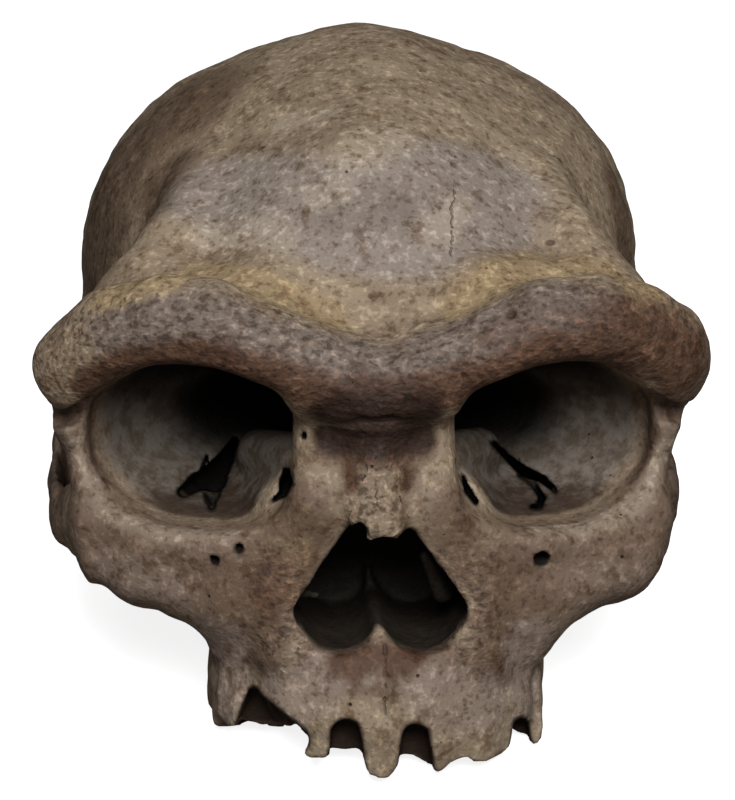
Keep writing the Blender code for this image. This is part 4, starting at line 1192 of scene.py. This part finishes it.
class Bone(Paint):
    """The fossil bone's patterns, and the finishes that are laid one over the other."""

    def __init__(self, tree, colours):
        super().__init__(tree)
        self.colours = colours
        self.blotch = self.noise(self.point, *BLOTCHES)
        self.patchy = self.noise(self.point, *PATCHES)
        self.fine = self.noise(self.point, *SPOTS)
        self.grain = self.noise(self.point, *CRUMBS)
        self.coarse = self.mark("coarse")
        self.dashed = self.noise(self.vector("MULTIPLY", self.point, DASH_STRETCH), *DASHES)

    def rgb(self, name):
        return (*getattr(self.colours, name), 1)

    def cover(self, below, name, share, *others):
        """Lays a named colour over what is below, by the shares multiplied."""
        for other in others:
            share = self.number("MULTIPLY", share, other)
        return self.mix(share, below, self.rgb(name))

    def stained(self):
        """The bone itself and its stains."""
        broad = self.noise(self.point, *BROAD)
        tan = self.step(self.number("MULTIPLY_ADD", self.patchy, TAN_PATCHES, broad), *TAN)
        colour = self.mix(tan, self.rgb("bone"), self.rgb("tan"))
        patches = self.number("MULTIPLY", self.patchy, STAIN_PATCHES)
        ragged = self.number("MULTIPLY_ADD", self.fine, 1 - STAIN_PATCHES, patches)
        stain = stain_group()
        for name, strength in STAINS.items():
            colour = self.group(stain, bone=colour, stain=self.rgb(name), zone=self.mark(name),
                                ragged=ragged, strength=strength)["Colour"]
        return colour

    def mottled(self, colour):
        """Ragged dark and light spots of several sizes, which keep the hue of what they lie on."""
        colour = self.mix(self.step(self.blotch, *DARK_BLOTCH), colour, SHADE, "MULTIPLY")
        flecks = self.number("MULTIPLY_ADD", self.grain, FLECK_CRUMBS, self.fine)
        colour = self.mix(self.step(flecks, *PALE_FLECK), colour, TINT, "MULTIPLY")
        return self.mix(self.step(flecks, *DARK_FLECK), colour, SHADE, "MULTIPLY")

    def grained(self, colour):
        """The brow's grain: short dark dashes and pale crumbs."""
        colour = self.cover(colour, "dark", self.step(self.dashed, *DARK_DASH), self.coarse, DARK_DASH_COVER)
        pale = self.number("MULTIPLY", self.step(self.dashed, *PALE_DASH), self.coarse)
        return self.mix(pale, colour, TINT, "MULTIPLY")

    def pits(self):
        """Small round pits, few and scattered."""
        cell = self.cells(self.point, PIT_SPACING)
        choice, size, _ = self.split(cell.outputs["Color"])
        reach = self.number("MULTIPLY_ADD", size, *PIT_REACH)
        pit = self.step(cell.outputs["Distance"], reach, PIT_MIDDLE)
        return self.number("MULTIPLY", pit, self.step(choice, *PIT_CHOSEN))

    def cracks(self):
        """Cracks and seams, which wander a little."""
        wander = self.vector("SUBTRACT", self.colour_noise(self.point, CRACK_TURN), (0.5, 0.5, 0.5))
        strayed = self.vector("ADD", self.point, self.scaled(wander, CRACK_STRAY))
        cracked = 0.0
        for knots, half_width in CRACKS:
            near = self.step(self.line(strayed, knots), half_width, half_width * CRACK_CORE)
            cracked = self.number("MAXIMUM", near, cracked)
        return cracked

    def hollows(self, colour):
        """The orbits' grey, brown and painted shadow, then the dark sockets and the painted shade of the
        nose and holes.
        """
        in_orbit = self.mark("in_orbit")
        x, _, level = self.split(self.point)
        grey = self.mix(self.step(x, *ORBIT_LIGHTER), self.rgb("hollow"), self.rgb("grey"))
        grey = self.mix(self.step(self.blotch, *ORBIT_CLOUDS), grey, SHADE, "MULTIPLY")
        inside = self.number("MULTIPLY", self.step(in_orbit, *ORBIT_GREY), ORBIT_GREY_COVER)
        colour = self.mix(inside, colour, grey)
        low = self.step(self.number("MULTIPLY_ADD", self.blotch, ORBIT_FLOOR_RAGGED, level),
                        *ORBIT_FLOOR_LEVELS)
        colour = self.cover(colour, "dark", self.step(in_orbit, *ORBIT_FLOOR), low)
        # Painted shadow: the brow's shade over the orbits' upper part, laid near black.
        brow_shadow = [self.number("MULTIPLY", self.step(in_orbit, *depths), self.step(level, *levels))
                for depths, levels in ((ORBIT_PAINTED_SHADOW, ORBIT_PAINTED_SHADOW_LEVELS), (UNDER_BROW_SHADOW, UNDER_BROW_SHADOW_LEVELS))]
        colour = self.cover(colour, "pit", self.number("MAXIMUM", *brow_shadow))
        colour = self.cover(colour, "dark", self.mark("in_socket"))
        # Painted shade: the nose and the small holes are laid near black.
        colour = self.cover(colour, "pit", self.mark("in_nose"), NOSE_PAINTED_SHADE)
        return self.cover(colour, "pit", self.mark("in_hole"))

    def relief(self, pit, cracked):
        """The surface's normal with its fine relief."""
        height = self.number("MULTIPLY", self.dashed, self.number("MULTIPLY", self.coarse, DASH_RELIEF))
        for pattern, rise in ((self.grain, CRUMB_RELIEF), (self.fine, SPOT_RELIEF), (pit, -PIT_DEPTH),
                              (cracked, -CRACK_DEPTH)):
            height = self.number("MULTIPLY_ADD", pattern, rise, height)
        bump = self.new("ShaderNodeBump")
        bump.inputs["Strength"].default_value = 1.0
        bump.inputs["Distance"].default_value = MM
        self.put(bump.inputs["Height"], height)
        return bump.outputs["Normal"]


def fossil_bone(colours):
    material = bpy.data.materials.new("fossil bone")
    material.use_nodes = True
    bone = Bone(material.node_tree, colours)
    pit = bone.pits()
    cracked = bone.cracks()
    colour = bone.grained(bone.mottled(bone.stained()))
    colour = bone.cover(colour, "pit", pit, PIT_COVER)
    # Hollows are painted darker, and edges are worn pale.
    cavity = bone.mark("cavity")
    colour = bone.cover(colour, "dark", bone.step(cavity, *HOLLOW_DARKENING), HOLLOW_DARKENING_COVER)
    colour = bone.cover(colour, "pale", bone.step(cavity, *WORN), WORN_COVER)
    colour = bone.cover(colour, "dark", cracked, CRACK_COVER)

    surface = material.node_tree.nodes["Principled BSDF"]
    bone.put(surface.inputs["Base Color"], bone.hollows(colour))
    bone.put(surface.inputs["Roughness"], bone.number("MULTIPLY_ADD", bone.patchy, *MATT))
    bone.put(surface.inputs["Normal"], bone.relief(pit, cracked))
    surface.inputs["Specular IOR Level"].default_value = SHEEN
    return material


def unlike_to_camera(nodes, plain, seen):
    """One shader for the light in the scene, and another that the camera sees."""
    either = nodes.new("ShaderNodeMixShader")
    nodes.put(either.inputs[0], nodes.new("ShaderNodeLightPath").outputs["Is Camera Ray"])
    nodes.put(either.inputs[1], plain.outputs[0])
    nodes.put(either.inputs[2], seen.outputs[0])
    return either.outputs[0]


def pale_floor(colour):
    """A matt floor that sends little light back up, so that undersides stay as dark as they are."""
    material = bpy.data.materials.new("pale floor")
    material.use_nodes = True
    nodes = Nodes(material.node_tree)
    surface = material.node_tree.nodes["Principled BSDF"]
    surface.inputs["Base Color"].default_value = (*colour, 1)
    surface.inputs["Roughness"].default_value = FLOOR_ROUGHNESS
    surface.inputs["Emission Color"].default_value = WHITE
    surface.inputs["Emission Strength"].default_value = FLOOR_GLOW
    dim = nodes.new("ShaderNodeBsdfDiffuse")
    dim.inputs["Color"].default_value = FLOOR_RETURN
    seen = unlike_to_camera(nodes, dim, surface)
    nodes.put(material.node_tree.nodes["Material Output"].inputs["Surface"], seen)
    return material


class FOSSIL_OT_cranium(bpy.types.Operator):
    """Cast the cranium in clay, mark it and give it its weathered bone"""

    bl_idname = "fossil.cranium"
    bl_label = "Fossil cranium"

    def execute(self, context):
        cranium, mesh = cast_cranium(context.scene.cranium_sizes)
        mark_bone(mesh)
        mesh.transform(rest_turn())
        wear_flat(mesh)
        mesh.materials.clear()
        mesh.materials.append(fossil_bone(context.scene.bone_colours))
        mesh.shade_smooth()
        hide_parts("cranium")
        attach(cranium, "root")
        return {"FINISHED"}


class FOSSIL_OT_stage(bpy.types.Operator):
    """Lay the pale floor, hang the lights and set up the camera"""

    bl_idname = "fossil.stage"
    bl_label = "Pale stage"

    def execute(self, context):
        scene = context.scene
        settings = scene.stage_settings
        scene.view_settings.view_transform = "Standard"
        lay_floor(settings)
        hang_lights(scene, settings)
        scene.camera = place_camera()
        return {"FINISHED"}


def lay_floor(settings):
    bpy.ops.mesh.primitive_circle_add(vertices=FLOOR_CORNERS, radius=FLOOR_RADIUS, fill_type="NGON")
    floor = bpy.context.object
    floor.name = "floor"
    floor.data.materials.append(pale_floor(settings.floor))


def softbox(name, size, power, place, target):
    light = bpy.data.lights.new(name, "AREA")
    light.size = size
    light.energy = power
    holder = bpy.data.objects.new(name, light)
    bpy.context.scene.collection.objects.link(holder)
    holder.location = place
    holder.rotation_euler = (Vector(place) - Vector(target)).to_track_quat("Z", "Y").to_euler()


def hang_lights(scene, settings):
    softbox("key softbox", KEY_SIZE, settings.key, KEY_PLACE, LIGHT_TARGET)
    world = bpy.data.worlds.new("studio")
    scene.world = world
    world.use_nodes = True
    nodes = Nodes(world.node_tree)
    room = world.node_tree.nodes["Background"]
    room.inputs["Color"].default_value = WHITE
    room.inputs["Strength"].default_value = settings.fill
    backdrop = nodes.new("ShaderNodeBackground")
    backdrop.inputs["Color"].default_value = WHITE
    seen = unlike_to_camera(nodes, room, backdrop)
    nodes.put(world.node_tree.nodes["World Output"].inputs["Surface"], seen)


def place_camera():
    camera = bpy.data.objects.new("camera", bpy.data.cameras.new("camera"))
    bpy.context.scene.collection.objects.link(camera)
    camera.data.sensor_fit = "HORIZONTAL"
    camera.data.sensor_width = CAMERA_SENSOR
    camera.data.lens = CAMERA_LENS
    camera.data.clip_start = CAMERA_NEAR
    turn = Matrix.Rotation(CAMERA_ASIDE, 4, "Z") @ Matrix.Rotation(math.radians(90) - CAMERA_DOWN, 4, "X")
    camera.matrix_world = rest_turn() @ Matrix.Translation(CAMERA_PLACE * MM) @ turn
    return camera


class FOSSIL_PT_panel(bpy.types.Panel):
    bl_label = "Fossil cranium"
    bl_space_type = "VIEW_3D"
    bl_region_type = "UI"
    bl_category = "Fossil"

    def draw(self, context):
        column = self.layout.column()
        for group in (context.scene.cranium_sizes, context.scene.bone_colours, context.scene.stage_settings):
            for name in group.__annotations__:
                column.prop(group, name)
        column.operator("fossil.cranium")
        column.operator("fossil.stage")


CLASSES = (CraniumSizes, BoneColours, StageSettings, FOSSIL_OT_cranium, FOSSIL_OT_stage, FOSSIL_PT_panel)


def register():
    for item in CLASSES:
        bpy.utils.register_class(item)
    bpy.types.Scene.cranium_sizes = bpy.props.PointerProperty(type=CraniumSizes)
    bpy.types.Scene.bone_colours = bpy.props.PointerProperty(type=BoneColours)
    bpy.types.Scene.stage_settings = bpy.props.PointerProperty(type=StageSettings)


def unregister():
    del bpy.types.Scene.stage_settings
    del bpy.types.Scene.bone_colours
    del bpy.types.Scene.cranium_sizes
    for item in reversed(CLASSES):
        bpy.utils.unregister_class(item)


def main():
    register()
    bpy.ops.fossil.cranium()
    bpy.ops.fossil.stage()


if __name__ == "__main__":
    main()
